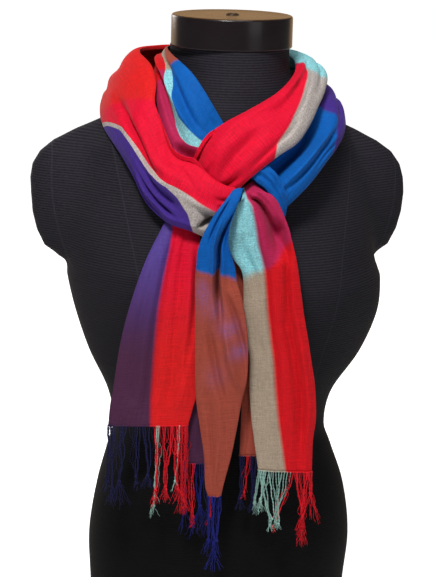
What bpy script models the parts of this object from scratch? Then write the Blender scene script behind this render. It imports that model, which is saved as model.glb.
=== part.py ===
"""A striped, fringed scarf wound round a plain dress form.

The scarf is folded double, laid round the neck and drawn through its own loop, so that an inner
and an outer turn lie round the neck and three hanging ends fall from the knot at the front.
Every stretch of cloth is a thin wall between two edge rails. The form stands on its flat base.
"""
import math

import bmesh
import bpy
import numpy as np
from mathutils import Matrix, Vector
from mathutils.bvhtree import BVHTree

MM = 0.001

# The front view is drawn at full size on a sheet. "right" and "down" are millimetres from the
# sheet's top left corner, and "out" is millimetres towards the viewer from the form's upright axis.
SHEET_WIDTH = 433.0
SHEET_HEIGHT = 577.0
AXIS_RIGHT = 222.5
AIM_HEIGHT = 360.0
EYE_DISTANCE = 2200.0
EYE_HEIGHT = 825.0
VIEW_TURN = math.radians(-10.0)
VIEW_ROLL = math.radians(1.5)

# Cloth
WALL = 1.5
SEAM_GAP = 0.3
HEM_GAP = 0.5
LAY_REACH = 60.0
LAY_STEPS = 4

# Fringe
STRIP_HEIGHT = 2.4
STRAND_PITCH = 3.4
STRAND_STEPS = 4
STRAND_SWAY = 5.0
SWAY_BEAT = 0.14
SWAY_TURN = 2.2
LENGTH_SPREAD = 0.1
LENGTH_BEAT = 1.7
THIN_START = 0.85
THIN_END = 0.6

# Plain colours of the solids
CRIMSON = (0.66, 0.01, 0.03)
VIOLET = (0.06, 0.04, 0.28)
BLUE = (0.01, 0.11, 0.40)
RUST = (0.26, 0.06, 0.04)
PLUM = (0.06, 0.02, 0.05)
NAVY_YARN = (0.01, 0.01, 0.10)
BLUE_YARN = (0.02, 0.03, 0.30)
MINT_YARN = (0.24, 0.45, 0.42)
RED_YARN = (0.45, 0.01, 0.02)

# Form
FORM_BLACK = (0.012, 0.012, 0.014)
CAP_BLACK = (0.02, 0.016, 0.014)
NECK_TOP = 603.0
CAP_RADIUS = 58.8
CAP_HEIGHT = 31.0
CAP_ROUND = 2.5
SCREW_RADIUS = 5.5
SCREW_HEIGHT = 2.5
CAP_AROUND = 40
FORM_AROUND = 40
BUST_HEIGHT = 375.0
BUST_TURN = math.radians(38)
BUST_SPREAD = 0.38
BUST_RISE = 45.0
BUST_SWELL = 12.0
ARM_BLEND = 12

# Height of each ring above the base, its sideways shift, its reach to the front and to the back
# of the axis, its half width, and the half width and half depth of the arm stumps there, which
# lie a little behind the axis.
ARM_SETBACK = 20.0
FORM_COLUMNS = ("height", "shift", "front", "back", "half_width", "arm_width", "arm_depth")
FORM_RINGS = (
    (0, 2, 96, 94, 125, 0, 0),
    (8, 2, 98, 96, 127, 0, 0),
    (60, 2, 101, 102, 130, 0, 0),
    (110, 3, 101, 104, 133, 0, 0),
    (160, 3, 95, 96, 126, 0, 0),
    (200, 1, 88, 84, 114, 0, 0),
    (225, 0, 84, 77, 107, 0, 0),
    (260, 0, 88, 75, 114, 0, 0),
    (300, 4, 99, 80, 137, 0, 0),
    (340, 5, 110, 88, 152, 0, 0),
    (372, 3, 114, 94, 157, 0, 0),
    (384, 1, 114, 96, 156, 150, 30),
    (392, 0, 114, 97, 155, 166, 38),
    (402, 0, 113, 98, 153, 176, 45),
    (418, 0, 110, 100, 152, 185, 52),
    (436, 0, 106, 101, 150, 190, 56),
    (455, 0, 102, 101, 146, 192, 58),
    (470, -1, 99, 100, 142, 192, 58),
    (484, -2, 96, 98, 138, 189, 56),
    (496, -3, 93, 95, 134, 181, 54),
    (507, -5, 91, 91, 130, 167, 50),
    (518, -6, 89, 84, 123, 148, 46),
    (528, -5, 87, 76, 114, 127, 42),
    (538, -3, 85, 66, 101, 0, 0),
    (548, -1, 83, 56, 86, 0, 0),
    (558, 0, 81, 47, 73, 0, 0),
    (570, 0, 80, 41, 64, 0, 0),
    (584, 0, 79, 37, 59, 0, 0),
    (603, 0, 79, 37, 58, 0, 0),
)

# A row of a stretch gives a point of its upper or left edge, a point of its lower or right edge,
# how far the cloth bulges between them and how far its edges tuck under.
ROW_COLUMNS = (
    "upper_right", "upper_down", "upper_out",
    "lower_right", "lower_down", "lower_out",
    "bulge", "tuck",
)
OUTER_LEFT = (
    (235, 187, 130, 214, 242, 126, 7, 3),
    (225, 185, 133, 201, 236, 129, 8, 3),
    (209, 176, 134, 188, 231, 130, 9, 3),
    (194, 160, 129, 170, 225, 127, 11, 3),
    (180, 156, 123, 155, 215, 120, 12, 4),
    (169, 146, 115, 142, 199, 111, 13, 4),
    (160, 120, 99, 131, 174, 97, 13, 4),
    (154, 101, 82, 119, 152, 78, 11, 4),
    (156, 82, 60, 106, 132, 46, 12, 3),
    (150, 64, 34, 101, 117, 14, 14, 3),
    (138, 51, 2, 107, 108, -22, 14, 3),
    (146, 46, -32, 130, 107, -58, 12, 3),
    (182, 44, -58, 176, 109, -80, 10, 3),
    (231.6, 44, -66, 231.6, 110, -88, 10, 3),
)
OUTER_RIGHT = (
    (250, 178, 112, 268, 224, 112, 7, 3),
    (266, 166, 111, 289, 206, 113, 8, 3),
    (284, 152, 104, 312, 183, 105, 10, 3),
    (300, 138, 88, 329, 160, 86, 12, 4),
    (310, 122, 72, 338, 149, 64, 10, 4),
    (317, 106, 50, 344, 136, 38, 8, 3),
    (321, 97, 25, 343, 122, 8, 7, 3),
    (320, 86, -6, 335, 112, -26, 7, 3),
    (304, 70, -43, 311, 109, -60, 8, 3),
    (268, 49, -60, 274, 109, -82, 10, 3),
    (232.8, 43, -69, 232.8, 109, -91, 10, 3),
)
INNER_LEFT = (
    (236, 142, 90, 216, 172, 108, 3, 2),
    (223, 122, 88, 197, 160, 108, 4, 2),
    (213, 105, 87, 180, 155, 104, 5, 2),
    (204, 90, 84, 168, 140, 94, 6, 2),
    (193, 74, 76, 160, 118, 78, 6, 2),
    (181, 62, 62, 156, 98, 62, 5, 2),
    (171, 53, 40, 154, 84, 38, 4, 2),
    (169, 47, 8, 156, 76, 4, 3, 2),
    (182, 44, -26, 176, 76, -32, 3, 2),
    (231.6, 43, -43, 231.6, 78, -50, 3, 2),
)
INNER_RIGHT = (
    (188, 172, 114, 224, 198, 120, 7, 3),
    (196, 152, 120, 238, 190, 128, 8, 3),
    (207, 135, 119, 247, 181, 130, 9, 3),
    (224, 122, 112, 262, 168, 128, 9, 3),
    (244, 111, 102, 281, 153, 121, 9, 3),
    (262, 101, 92, 299, 141, 108, 8, 3),
    (277, 92, 78, 311, 124, 88, 8, 3),
    (288, 82, 58, 319, 106, 62, 7, 3),
    (295, 71, 30, 325, 91, 35, 7, 3),
    (292, 60, 0, 325, 76, 4, 7, 3),
    (277, 51, -26, 307, 69, -32, 7, 3),
    (258, 46, -38, 276, 74, -48, 7, 3),
    (232.4, 43, -43, 232.4, 78, -50, 7, 3),
)
KNOT_LOBE = (
    (251, 176, 122, 264, 161, 120, 2, 1),
    (256, 182, 124, 269, 166, 121, 3, 1),
    (265, 189, 124, 277, 174, 121, 3, 1),
    (272, 200, 122, 284, 188, 118, 3, 1),
    (277, 213, 118, 286, 202, 114, 2, 1),
    (280, 222, 114, 285, 213, 111, 1, 1),
)
TAIL_LEFT = (
    (172, 208, 111, 192, 206, 113, 2, 1),
    (166, 220, 115, 197, 222, 116, 3, 1),
    (160, 231, 118, 200, 236, 120, 4, 1),
    (145, 262, 124, 202, 262, 128, 4, 1),
    (130, 305, 125, 203, 305, 130, 4, 1),
    (120, 345, 120, 202, 345, 128, 4, 1),
    (113, 389, 116, 198, 389, 126, 4, 1),
    (110, 405, 115, 193, 408, 125, 4, 1),
    (108, 425, 114, 188, 425, 124, 4, 1),
)
TAIL_MIDDLE = (
    (231, 193, 137, 238, 192, 137, 2, 1),
    (225, 201, 142, 236, 198, 142, 3, 1),
    (215, 214, 144, 231, 210, 145, 4, 1),
    (205, 231, 144, 226, 226, 146, 5, 1),
    (198, 249, 142, 224, 246, 145, 5, 1),
    (196, 268, 140, 232, 266, 143, 5, 1),
    (195, 282, 138, 237, 282, 141, 5, 1),
    (195, 311, 136, 243, 303, 140, 5, 1),
    (195, 345, 134, 248, 340, 139, 5, 1),
    (195, 378, 133, 247, 378, 137, 5, 1),
    (196, 400, 132, 242, 400, 136, 5, 1),
    (200, 428, 131, 237, 428, 134, 4, 1),
    (204, 457, 130, 231, 457, 133, 4, 1),
    (205, 484, 130, 224, 483, 132, 3, 1),
    (208, 496, 130, 221, 496, 132, 2, 1),
)
TAIL_RIGHT = (
    (245, 191, 128, 255, 185, 124, 2, 1),
    (241, 196, 133, 261, 187, 129, 3, 1),
    (236, 203, 137, 270, 192, 132, 4, 1),
    (231, 213, 137, 279, 204, 134, 5, 1),
    (227, 228, 136, 288, 226, 134, 5, 1),
    (225, 241, 134, 292, 241, 133, 5, 1),
    (233, 260, 133, 297, 262, 132, 5, 1),
    (243, 277, 133, 300, 280, 130, 5, 1),
    (244, 318, 131, 305, 318, 127, 5, 1),
    (246, 341, 130, 309, 341, 125, 5, 1),
    (250, 358, 129, 312, 361, 124, 5, 1),
    (250, 390, 127, 316, 390, 122, 5, 1),
    (252, 420, 126, 317, 420, 120, 5, 1),
    (255, 443, 125, 314, 443, 119, 5, 1),
    (259, 472, 124, 313, 474, 118, 4, 1),
)
UNDER_LEFT = (
    (180, 238, 117, 200, 238, 118, 2, 1),
    (178, 290, 123, 212, 290, 124, 2, 1),
    (180, 345, 119, 214, 345, 121, 2, 1),
    (183, 400, 115, 215, 400, 118, 2, 1),
    (185, 438, 114, 214, 438, 117, 2, 1),
    (184, 463, 114, 212, 463, 117, 2, 1),
)
UNDER_RIGHT = (
    (232, 250, 121, 256, 250, 121, 2, 1),
    (234, 300, 122, 262, 300, 121, 2, 1),
    (238, 345, 121, 266, 345, 119, 2, 1),
    (242, 400, 119, 262, 400, 117, 2, 1),
    (240, 457, 118, 257, 457, 116, 2, 1),
)

# Each stretch's rows, the hand its cloth faces, its steps along and across, how many degrees its
# edges roll under, the gap in millimetres that its highest seats keep from the solids below, less
# where its wall is thinner than it seems along the way it faces, those solids, and its colour,
# in the order in which the stretches are laid.
STRETCH_COLUMNS = ("rows", "hand", "along", "across", "turn", "gap", "lies_on", "colour")
STRETCHES = {
    "wrap_inner_left": (INNER_LEFT, 1, 18, 10, 0, 0.45, ("form_torso",), BLUE),
    "wrap_inner_right": (INNER_RIGHT, -1, 21, 12, 28, 0.5, ("form_torso", "wrap_inner_left"), CRIMSON),
    "wrap_outer_right": (OUTER_RIGHT, -1, 20, 13, 28, 0.45, ("form_torso",), VIOLET),
    "knot_lobe": (KNOT_LOBE, 1, 8, 6, 0, -0.35, ("wrap_outer_right",), BLUE),
    "tail_under_left": (UNDER_LEFT, 1, 9, 6, 0, 0.4, ("form_torso",), PLUM),
    "tail_under_right": (UNDER_RIGHT, 1, 7, 6, 0, 0.4, ("form_torso",), RUST),
    "tail_left": (TAIL_LEFT, 1, 15, 12, 0, 0.55, ("form_torso", "tail_under_left"), CRIMSON),
    "wrap_outer_left": (
        OUTER_LEFT, 1, 24, 13, 28, 0.55,
        ("form_torso", "wrap_inner_left", "wrap_inner_right", "tail_left"), CRIMSON,
    ),
    "tail_middle": (
        TAIL_MIDDLE, 1, 20, 11, 0, -0.35, ("wrap_outer_left", "tail_under_left", "tail_left"), RUST,
    ),
    "tail_right": (
        TAIL_RIGHT, 1, 19, 13, 0, -0.5, ("wrap_outer_right", "knot_lobe", "tail_under_right"), CRIMSON,
    ),
}

# The largest folds: where each starts and ends along its stretch and across it, as shares, its
# depth in millimetres, more than nothing for a trough, and its half width as a share across.
FOLD_COLUMNS = ("stretch", "start", "end", "start_across", "end_across", "depth", "half_width")
FOLDS = (
    ("wrap_outer_left", 0.22, 0.52, 0.36, 0.70, 6.0, 0.10),
    ("wrap_outer_left", 0.46, 0.82, 0.66, 0.78, 5.0, 0.10),
    ("wrap_outer_left", 0.12, 0.42, 0.86, 0.80, 6.0, 0.08),
    ("wrap_outer_left", 0.05, 0.30, 0.62, 0.56, -3.5, 0.09),
    ("wrap_outer_left", 0.55, 1.00, 0.34, 0.45, 4.5, 0.10),
    ("wrap_outer_right", 0.00, 0.60, 0.55, 0.42, 5.0, 0.10),
    ("wrap_outer_right", 0.30, 1.00, 0.76, 0.45, 4.5, 0.10),
    ("wrap_inner_left", 0.10, 0.60, 0.62, 0.58, 3.5, 0.10),
    ("wrap_inner_right", 0.05, 0.55, 0.42, 0.55, 4.0, 0.11),
    ("wrap_inner_right", 0.30, 0.80, 0.74, 0.70, 3.5, 0.09),
    ("tail_middle", 0.12, 0.62, 0.68, 0.48, 5.5, 0.12),
    ("tail_right", 0.10, 0.42, 0.30, 0.45, 5.0, 0.10),
    ("tail_right", 0.20, 1.00, 0.42, 0.38, 4.0, 0.08),
    ("tail_right", 0.25, 1.00, 0.80, 0.86, -3.5, 0.08),
    ("tail_left", 0.05, 1.00, 0.42, 0.50, 4.0, 0.09),
    ("tail_left", 0.20, 1.00, 0.80, 0.78, -3.5, 0.09),
)

# The fringe under each hanging end: its length in millimetres and its colour.
FRINGES = {
    "tail_left": (76, NAVY_YARN),
    "tail_middle": (72, BLUE_YARN),
    "tail_right": (66, MINT_YARN),
    "tail_under_left": (74, RED_YARN),
    "tail_under_right": (70, BLUE_YARN),
}


def at(right, down, out):
    """The place, in metres, that the viewer sees at this place on the sheet and this far out."""
    tilt = math.atan2(EYE_HEIGHT - AIM_HEIGHT, EYE_DISTANCE)
    centre = SHEET_WIDTH / 2 - AXIS_RIGHT
    eye = Vector((centre, -EYE_DISTANCE, EYE_HEIGHT))
    up = Vector((0, math.sin(tilt), math.cos(tilt)))
    from_middle = Vector((right - SHEET_WIDTH / 2, SHEET_HEIGHT / 2 - down))
    from_middle.rotate(Matrix.Rotation(VIEW_ROLL, 2))
    seen = Vector((centre + from_middle.x, 0, AIM_HEIGHT)) + up * from_middle.y
    reach = (EYE_DISTANCE - out) / (seen.y - eye.y)
    place = eye + (seen - eye) * reach
    return Matrix.Rotation(VIEW_TURN, 3, "Z") @ place * MM


def smooth_row(rows, share):
    """The row at this share of the way along a table, on a smooth curve through its rows."""
    place = share * (len(rows) - 1)
    i = min(int(place), len(rows) - 2)
    t = place - i
    p1, p2 = np.array(rows[i], float), np.array(rows[i + 1], float)
    p0 = np.array(rows[i - 1], float) if i else 2 * p1 - p2
    p3 = np.array(rows[i + 2], float) if i + 2 < len(rows) else 2 * p2 - p1
    bend = 2 * p0 - 5 * p1 + 4 * p2 - p3 + t * (3 * (p1 - p2) + p3 - p0)
    row = p1 + t / 2 * (p2 - p0 + t * bend)
    return dict(zip(ROW_COLUMNS, row))


def plain_material(name, colour, roughness):
    material = bpy.data.materials.new(name)
    material.use_nodes = True
    shader = material.node_tree.nodes["Principled BSDF"]
    shader.inputs["Base Color"].default_value = (*colour, 1)
    shader.inputs["Roughness"].default_value = roughness
    return material


def add_object(name, points, faces, colour, roughness=0.85):
    mesh = bpy.data.meshes.new(name)
    mesh.from_pydata([tuple(p) for p in points], [], faces)
    mesh.shade_smooth()
    mesh.materials.append(plain_material(name, colour, roughness))
    obj = bpy.data.objects.new(name, mesh)
    bpy.context.scene.collection.objects.link(obj)
    return obj


def fold_depth(name, along, across):
    """How deep the folds of a stretch dent it here, in millimetres."""
    depth = 0.0
    for row in FOLDS:
        fold = dict(zip(FOLD_COLUMNS, row))
        if fold["stretch"] != name or not fold["start"] < along < fold["end"]:
            continue
        share = (along - fold["start"]) / (fold["end"] - fold["start"])
        middle = fold["start_across"] + share * (fold["end_across"] - fold["start_across"])
        fade = min(1.0, 4 * share, 4 * (1 - share) if fold["end"] < 1 else 1.0)
        depth += fold["depth"] * fade * math.exp(-((across - middle) / fold["half_width"]) ** 2)
    return depth


def section_place(share, turn):
    """Where a share of a cross-section lies across the cloth, and how much it faces outwards.

    The turn, in degrees, is how far the section's edges roll under.
    """
    angle = math.radians(-turn + share * (180 + 2 * turn))
    return (1 - math.cos(angle)) / 2, math.sin(angle)


def stretch_grid(name, rows, hand, along, across, turn):
    """The outer points of a stretch, line by line, and the way that each line faces."""
    stations = [smooth_row(rows, i / (along - 1)) for i in range(along)]
    upper = [at(s["upper_right"], s["upper_down"], s["upper_out"]) for s in stations]
    lower = [at(s["lower_right"], s["lower_down"], s["lower_out"]) for s in stations]
    level = Matrix.Rotation(VIEW_TURN, 3, "Z") @ Vector((1, 0, 0))
    grid, facings = [], []
    for i, station in enumerate(stations):
        before, after = max(i - 1, 0), min(i + 1, along - 1)
        run = (upper[after] + lower[after]) - (upper[before] + lower[before])
        if name.startswith("wrap") and i == along - 1:
            run = hand * level
        facing = hand * run.cross(lower[i] - upper[i]).normalized()
        line = []
        for j in range(across):
            place, rise = section_place(j / (across - 1), turn)
            swell = rise * (station["bulge"] if rise > 0 else station["tuck"])
            if rise > 0:
                swell -= fold_depth(name, i / (along - 1), place)
            line.append(upper[i].lerp(lower[i], place) + facing * swell * MM)
        grid.append(line)
        facings.append(facing)
    return grid, facings


def outer_tree(names):
    """The surfaces of these solids, to lay cloth on."""
    points, faces = [], []
    graph = bpy.context.evaluated_depsgraph_get()
    for name in names:
        mesh = bpy.data.objects[name].evaluated_get(graph).data
        start = len(points)
        points += [v.co.copy() for v in mesh.vertices]
        faces += [[start + k for k in face.vertices] for face in mesh.polygons]
    return BVHTree.FromPolygons(points, faces)


def lift_needed(tree, line, facing, turn, gap):
    """How far a line of points must move out to clear the surfaces below it."""
    need = -LAY_REACH * MM
    spans = len(line) - 1
    for j in range(2 * spans + 1):
        point = line[j // 2].lerp(line[min(j // 2 + 1, spans)], (j % 2) / 2)
        start = point + facing * LAY_REACH * MM
        hit, _, _, distance = tree.ray_cast(start, -facing, 2 * LAY_REACH * MM)
        if hit:
            _, rise = section_place(j / (2 * spans), turn)
            below = max(rise, 0.0) if turn else 1.0
            clear = LAY_REACH + WALL * below + gap
            need = max(need, clear * MM - distance)
    return need


def lay_on(grid, facings, names, turn, gap):
    """Lifts each line of points clear of the solids below, and lowers cloth that is clear of all."""
    tree = outer_tree(names)
    last = len(grid) - 1
    needs = [-LAY_REACH * MM] * len(grid)
    for i in range(last):
        for k in range(LAY_STEPS + 1):
            share = k / LAY_STEPS
            line = [a.lerp(b, share) for a, b in zip(grid[i], grid[i + 1])]
            facing = facings[i].lerp(facings[i + 1], share).normalized()
            need = lift_needed(tree, line, facing, turn, gap)
            if k < LAY_STEPS:
                needs[i] = max(needs[i], need)
            if k > 0:
                needs[i + 1] = max(needs[i + 1], need)
    least = min(max(needs), 0.0)
    needs = [max(need, least) for need in needs]
    for i, line in enumerate(grid):
        near = [needs[max(i - 1, 0)], needs[i], needs[min(i + 1, last)]]
        lift = max(needs[i], sum(near) / 3)
        grid[i] = [point + facings[i] * lift for point in line]


def add_stretch(name, values):
    stretch = dict(zip(STRETCH_COLUMNS, values))
    along, across, turn = stretch["along"], stretch["across"], stretch["turn"]
    grid, facings = stretch_grid(name, stretch["rows"], stretch["hand"], along, across, turn)
    lay_on(grid, facings, stretch["lies_on"], turn, stretch["gap"])
    points = [point for line in grid for point in line]
    faces = []
    for i in range(along - 1):
        for j in range(across - 1):
            a = i * across + j
            faces.append((a, a + across, a + across + 1, a + 1)[::stretch["hand"]])
    cloth = add_object(name, points, faces, stretch["colour"])
    wall = cloth.modifiers.new("wall", "SOLIDIFY")
    wall.thickness = WALL * MM
    wall.offset = -1
    bpy.context.view_layer.update()
    return grid, facings


def even_points(line, pitch):
    """An even number of steps of about this pitch along a line of points."""
    lengths = [0.0]
    for a, b in zip(line, line[1:]):
        lengths.append(lengths[-1] + (b - a).length)
    steps = max(4, round(lengths[-1] / pitch))
    places = []
    for step in range(steps + 1):
        want = lengths[-1] * step / steps
        i = max(k for k in range(len(line) - 1) if lengths[k] <= want + 1e-9)
        places.append(line[i].lerp(line[i + 1], (want - lengths[i]) / (lengths[i + 1] - lengths[i])))
    return places


def add_strand(points, faces, root, side, length, k):
    """A strand of four sides that grows down from four points of the strip and gets thinner."""
    middle = sum((points[p] for p in root), Vector()) / len(root)
    uneven = 1 - LENGTH_SPREAD * (1 - math.sin(LENGTH_BEAT * k))
    ring = root
    for step in range(1, STRAND_STEPS + 1):
        share = step / STRAND_STEPS
        sway = STRAND_SWAY * share * math.sin(SWAY_BEAT * k + SWAY_TURN * share)
        centre = middle + side * sway * MM + Vector((0, 0, -length * uneven * share * MM))
        thin = THIN_START + (THIN_END - THIN_START) * share
        new = [len(points) + c for c in range(4)]
        points += [centre + (points[p] - middle) * thin for p in root]
        for c in range(4):
            d = (c + 1) % 4
            faces.append((new[c], new[d], ring[d], ring[c]))
        ring = new
    faces.append(tuple(reversed(ring)))


def add_fringe(name, grid, facings, length, colour):
    """A narrow strip under a hem, with a strand of four sides under every other step of it."""
    hem = list(grid[-1][1:-1])
    places = even_points(hem, STRAND_PITCH / 2 * MM)
    side = (hem[-1] - hem[0]).normalized()
    back = -facings[-1] * WALL * MM
    top = Vector((0, 0, -HEM_GAP * MM))
    bottom = Vector((0, 0, -(HEM_GAP + STRIP_HEIGHT) * MM))
    points = []
    for place in places:
        points += [place + top, place + top + back, place + bottom + back, place + bottom]
    faces = [(0, 1, 2, 3)]
    for k in range(len(places) - 1):
        a, b = 4 * k, 4 * k + 4
        faces += [(a + 3, b + 3, b, a), (b, b + 1, a + 1, a), (b + 1, b + 2, a + 2, a + 1)]
        if k % 2:
            add_strand(points, faces, [a + 3, b + 3, b + 2, a + 2], side, length, k)
        else:
            faces.append((b + 2, b + 3, a + 3, a + 2))
    end = 4 * (len(places) - 1)
    faces.append((end + 3, end + 2, end + 1, end))
    return add_object(name, points, faces, colour)


def arm_reach(ring, across, ahead):
    """How far from the axis the arm stumps reach in this direction."""
    depth = ring["arm_depth"]
    square = (across / ring["arm_width"]) ** 2 + (ahead / depth) ** 2
    slope = ahead * ARM_SETBACK / depth ** 2
    rest = (ARM_SETBACK / depth) ** 2 - 1
    return (-slope + math.sqrt(slope ** 2 - square * rest)) / square


def form_ring(row):
    """The points round one ring of the dress form."""
    ring = dict(zip(FORM_COLUMNS, row))
    rise = math.exp(-((ring["height"] - BUST_HEIGHT) / BUST_RISE) ** 2)
    points = []
    for k in range(FORM_AROUND):
        angle = 2 * math.pi * k / FORM_AROUND
        across, ahead = math.sin(angle), math.cos(angle)
        depth = ring["front"] if ahead > 0 else ring["back"]
        radius = math.hypot(across / ring["half_width"], ahead / depth) ** -1
        if ring["arm_width"]:
            arm = arm_reach(ring, across, ahead)
            radius = (radius ** ARM_BLEND + arm ** ARM_BLEND) ** (1 / ARM_BLEND)
        turn = min(angle, 2 * math.pi - angle)
        radius += BUST_SWELL * rise * math.exp(-((turn - BUST_TURN) / BUST_SPREAD) ** 2)
        points.append(Vector((ring["shift"] + radius * across, -radius * ahead, ring["height"])) * MM)
    return points


def add_form():
    rings = [form_ring(row) for row in FORM_RINGS]
    points = [p for ring in rings for p in ring]
    faces = [tuple(range(FORM_AROUND - 1, -1, -1))]
    for i in range(len(rings) - 1):
        for k in range(FORM_AROUND):
            a, b = i * FORM_AROUND + k, i * FORM_AROUND + (k + 1) % FORM_AROUND
            faces.append((a, b, b + FORM_AROUND, a + FORM_AROUND))
    top = (len(rings) - 1) * FORM_AROUND
    faces.append(tuple(range(top, top + FORM_AROUND)))
    return add_object("form_torso", points, faces, FORM_BLACK, 0.6)


def add_cap():
    """The hard cap on the neck, with the low screw head at its middle, turned about its axis."""
    neck = dict(zip(FORM_COLUMNS, FORM_RINGS[-1]))
    base = NECK_TOP + SEAM_GAP
    top = base + CAP_HEIGHT
    profile = [(0, base), (CAP_RADIUS - 1, base), (CAP_RADIUS, base + 1)]
    for step in range(3):
        angle = math.pi / 2 * step / 2
        profile.append((
            CAP_RADIUS - CAP_ROUND + CAP_ROUND * math.cos(angle),
            top - CAP_ROUND + CAP_ROUND * math.sin(angle),
        ))
    profile += [(SCREW_RADIUS, top), (SCREW_RADIUS, top + SCREW_HEIGHT), (0, top + SCREW_HEIGHT)]
    mesh = bmesh.new()
    line = [mesh.verts.new((r * MM, 0, z * MM)) for r, z in profile]
    edges = [mesh.edges.new(pair) for pair in zip(line, line[1:])]
    bmesh.ops.spin(
        mesh, geom=line + edges, axis=(0, 0, 1), cent=(0, 0, 0), angle=2 * math.pi,
        steps=CAP_AROUND, use_merge=True,
    )
    bmesh.ops.remove_doubles(mesh, verts=mesh.verts, dist=1e-6)
    bmesh.ops.recalc_face_normals(mesh, faces=mesh.faces)
    data = bpy.data.meshes.new("neck_cap")
    mesh.to_mesh(data)
    mesh.free()
    data.materials.append(plain_material("neck_cap", CAP_BLACK, 0.3))
    data.shade_smooth()
    data.set_sharp_from_angle(angle=math.radians(40))
    cap = bpy.data.objects.new("neck_cap", data)
    cap.location = (neck["shift"] * MM, -(neck["front"] - neck["back"]) / 2 * MM, 0)
    bpy.context.scene.collection.objects.link(cap)
    return cap


def build():
    for old in list(bpy.data.objects):
        bpy.data.objects.remove(old)
    add_form()
    add_cap()
    bpy.context.view_layer.update()
    for name, values in STRETCHES.items():
        grid, facings = add_stretch(name, values)
        if name in FRINGES:
            length, colour = FRINGES[name]
            add_fringe(name.replace("tail", "fringe"), grid, facings, length, colour)


build()
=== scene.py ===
"""A striped, fringed scarf on a plain dress form, dressed in woven cloth, yarn and a ribbed cover.

The solids come from the frame. Each stretch of cloth is laid again on its own solid as a thin
shell with finer creases, and the fringe, the form and its cap get finer pieces of the same form.
"""
import math
import random

import bmesh
import bpy
import numpy as np
from mathutils import Matrix, Vector, noise
from mathutils.bvhtree import BVHTree


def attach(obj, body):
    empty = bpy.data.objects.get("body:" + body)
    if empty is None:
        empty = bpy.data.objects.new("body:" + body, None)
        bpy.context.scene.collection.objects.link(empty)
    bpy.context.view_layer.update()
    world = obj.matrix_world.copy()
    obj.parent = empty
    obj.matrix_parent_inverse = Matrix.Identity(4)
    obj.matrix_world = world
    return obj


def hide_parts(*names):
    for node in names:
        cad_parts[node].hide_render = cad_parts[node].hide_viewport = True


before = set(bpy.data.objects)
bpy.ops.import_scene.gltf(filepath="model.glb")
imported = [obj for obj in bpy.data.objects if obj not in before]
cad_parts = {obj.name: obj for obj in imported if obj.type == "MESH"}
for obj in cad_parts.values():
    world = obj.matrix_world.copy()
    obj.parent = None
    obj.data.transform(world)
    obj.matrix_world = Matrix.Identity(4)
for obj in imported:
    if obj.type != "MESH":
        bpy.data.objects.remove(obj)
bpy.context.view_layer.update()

MM = 0.001

# The front view is drawn at full size on a sheet. "right" and "down" are millimetres from the
# sheet's top left corner, and "out" is millimetres towards the viewer from the form's upright axis.
SHEET_WIDTH = 433.0
SHEET_HEIGHT = 577.0
AXIS_RIGHT = 222.5
AIM_HEIGHT = 360.0
EYE_DISTANCE = 2200.0
EYE_HEIGHT = 825.0
VIEW_TURN = math.radians(-10.0)
VIEW_ROLL = math.radians(1.5)

# Cloth
CLOTH_THICKNESS = 0.55
CLOTH_CLEAR = 1.0
FAR_REACH = 30.0
MOST_PUSH = 6.0
FOLD_RELIEF = 1.65
FOLD_SPREAD = 3.0
# How many lines to each side give the way that a line faces, and how many at a wrap's end stay level.
FACING_REACH = 3
LEVEL_LINES = 7
# Where across a line its solid is sought, the percentile taken, and how many lines are averaged.
LIFT_PLACES = (0.3, 0.4, 0.5, 0.6, 0.7)
LIFT_SHARE = 70
LIFT_WINDOW = 9
PUSH_ROUNDS = 3
# The wide and the fine unevenness of draped cloth: how quickly each changes along and across a
# stretch, and its height in millimetres; and how sharply both end with a wrap.
RIPPLE_WIDE = (9, 3, 0.9)
RIPPLE_FINE = (26, 9, 0.35)
RIPPLE_SETTLE = 12

# Form
NECK_TOP = 603.0
LIP_HEIGHT = 1.6
LIP_WIDTH = 2.5
FORM_AROUND = 168
FORM_RISERS = 190
FORM_CREASE = math.radians(70)
BUST_HEIGHT = 375.0
BUST_TURN = math.radians(38)
BUST_SPREAD = 0.38
BUST_RISE = 45.0
BUST_SWELL = 12.0
ARM_BLEND = 12
ARM_SETBACK = 20.0
FORM_COLUMNS = ("height", "shift", "front", "back", "half_width", "arm_width", "arm_depth")
FORM_RINGS = (
    (0, 2, 96, 94, 125, 0, 0),
    (8, 2, 98, 96, 127, 0, 0),
    (60, 2, 101, 102, 130, 0, 0),
    (110, 3, 101, 104, 133, 0, 0),
    (160, 3, 95, 96, 126, 0, 0),
    (200, 1, 88, 84, 114, 0, 0),
    (225, 0, 84, 77, 107, 0, 0),
    (260, 0, 88, 75, 114, 0, 0),
    (300, 4, 99, 80, 137, 0, 0),
    (340, 5, 110, 88, 152, 0, 0),
    (372, 2, 114, 94, 157, 124, 24),
    (384, 0, 114, 96, 156, 122, 25),
    (392, -2, 114, 97, 155, 152, 35),
    (402, -2, 113, 98, 153, 172, 45),
    (418, -2, 110, 100, 152, 181, 52),
    (436, -2, 106, 101, 150, 186, 56),
    (455, -2, 102, 101, 146, 188, 58),
    (470, -3, 99, 100, 142, 188, 58),
    (484, -4, 96, 98, 138, 185, 56),
    (496, -5, 93, 95, 134, 177, 54),
    (507, -6, 91, 91, 130, 162, 50),
    (518, -6, 89, 84, 120, 140, 46),
    (528, -5, 87, 76, 110, 116, 42),
    (538, -3, 85, 66, 98, 100, 36),
    (548, -1, 83, 56, 84, 80, 30),
    (558, 0, 81, 47, 73, 0, 0),
    (570, 0, 80, 41, 64, 0, 0),
    (584, 0, 79, 37, 59, 0, 0),
    (603, 0, 79, 37, 58, 0, 0),
)

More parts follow.
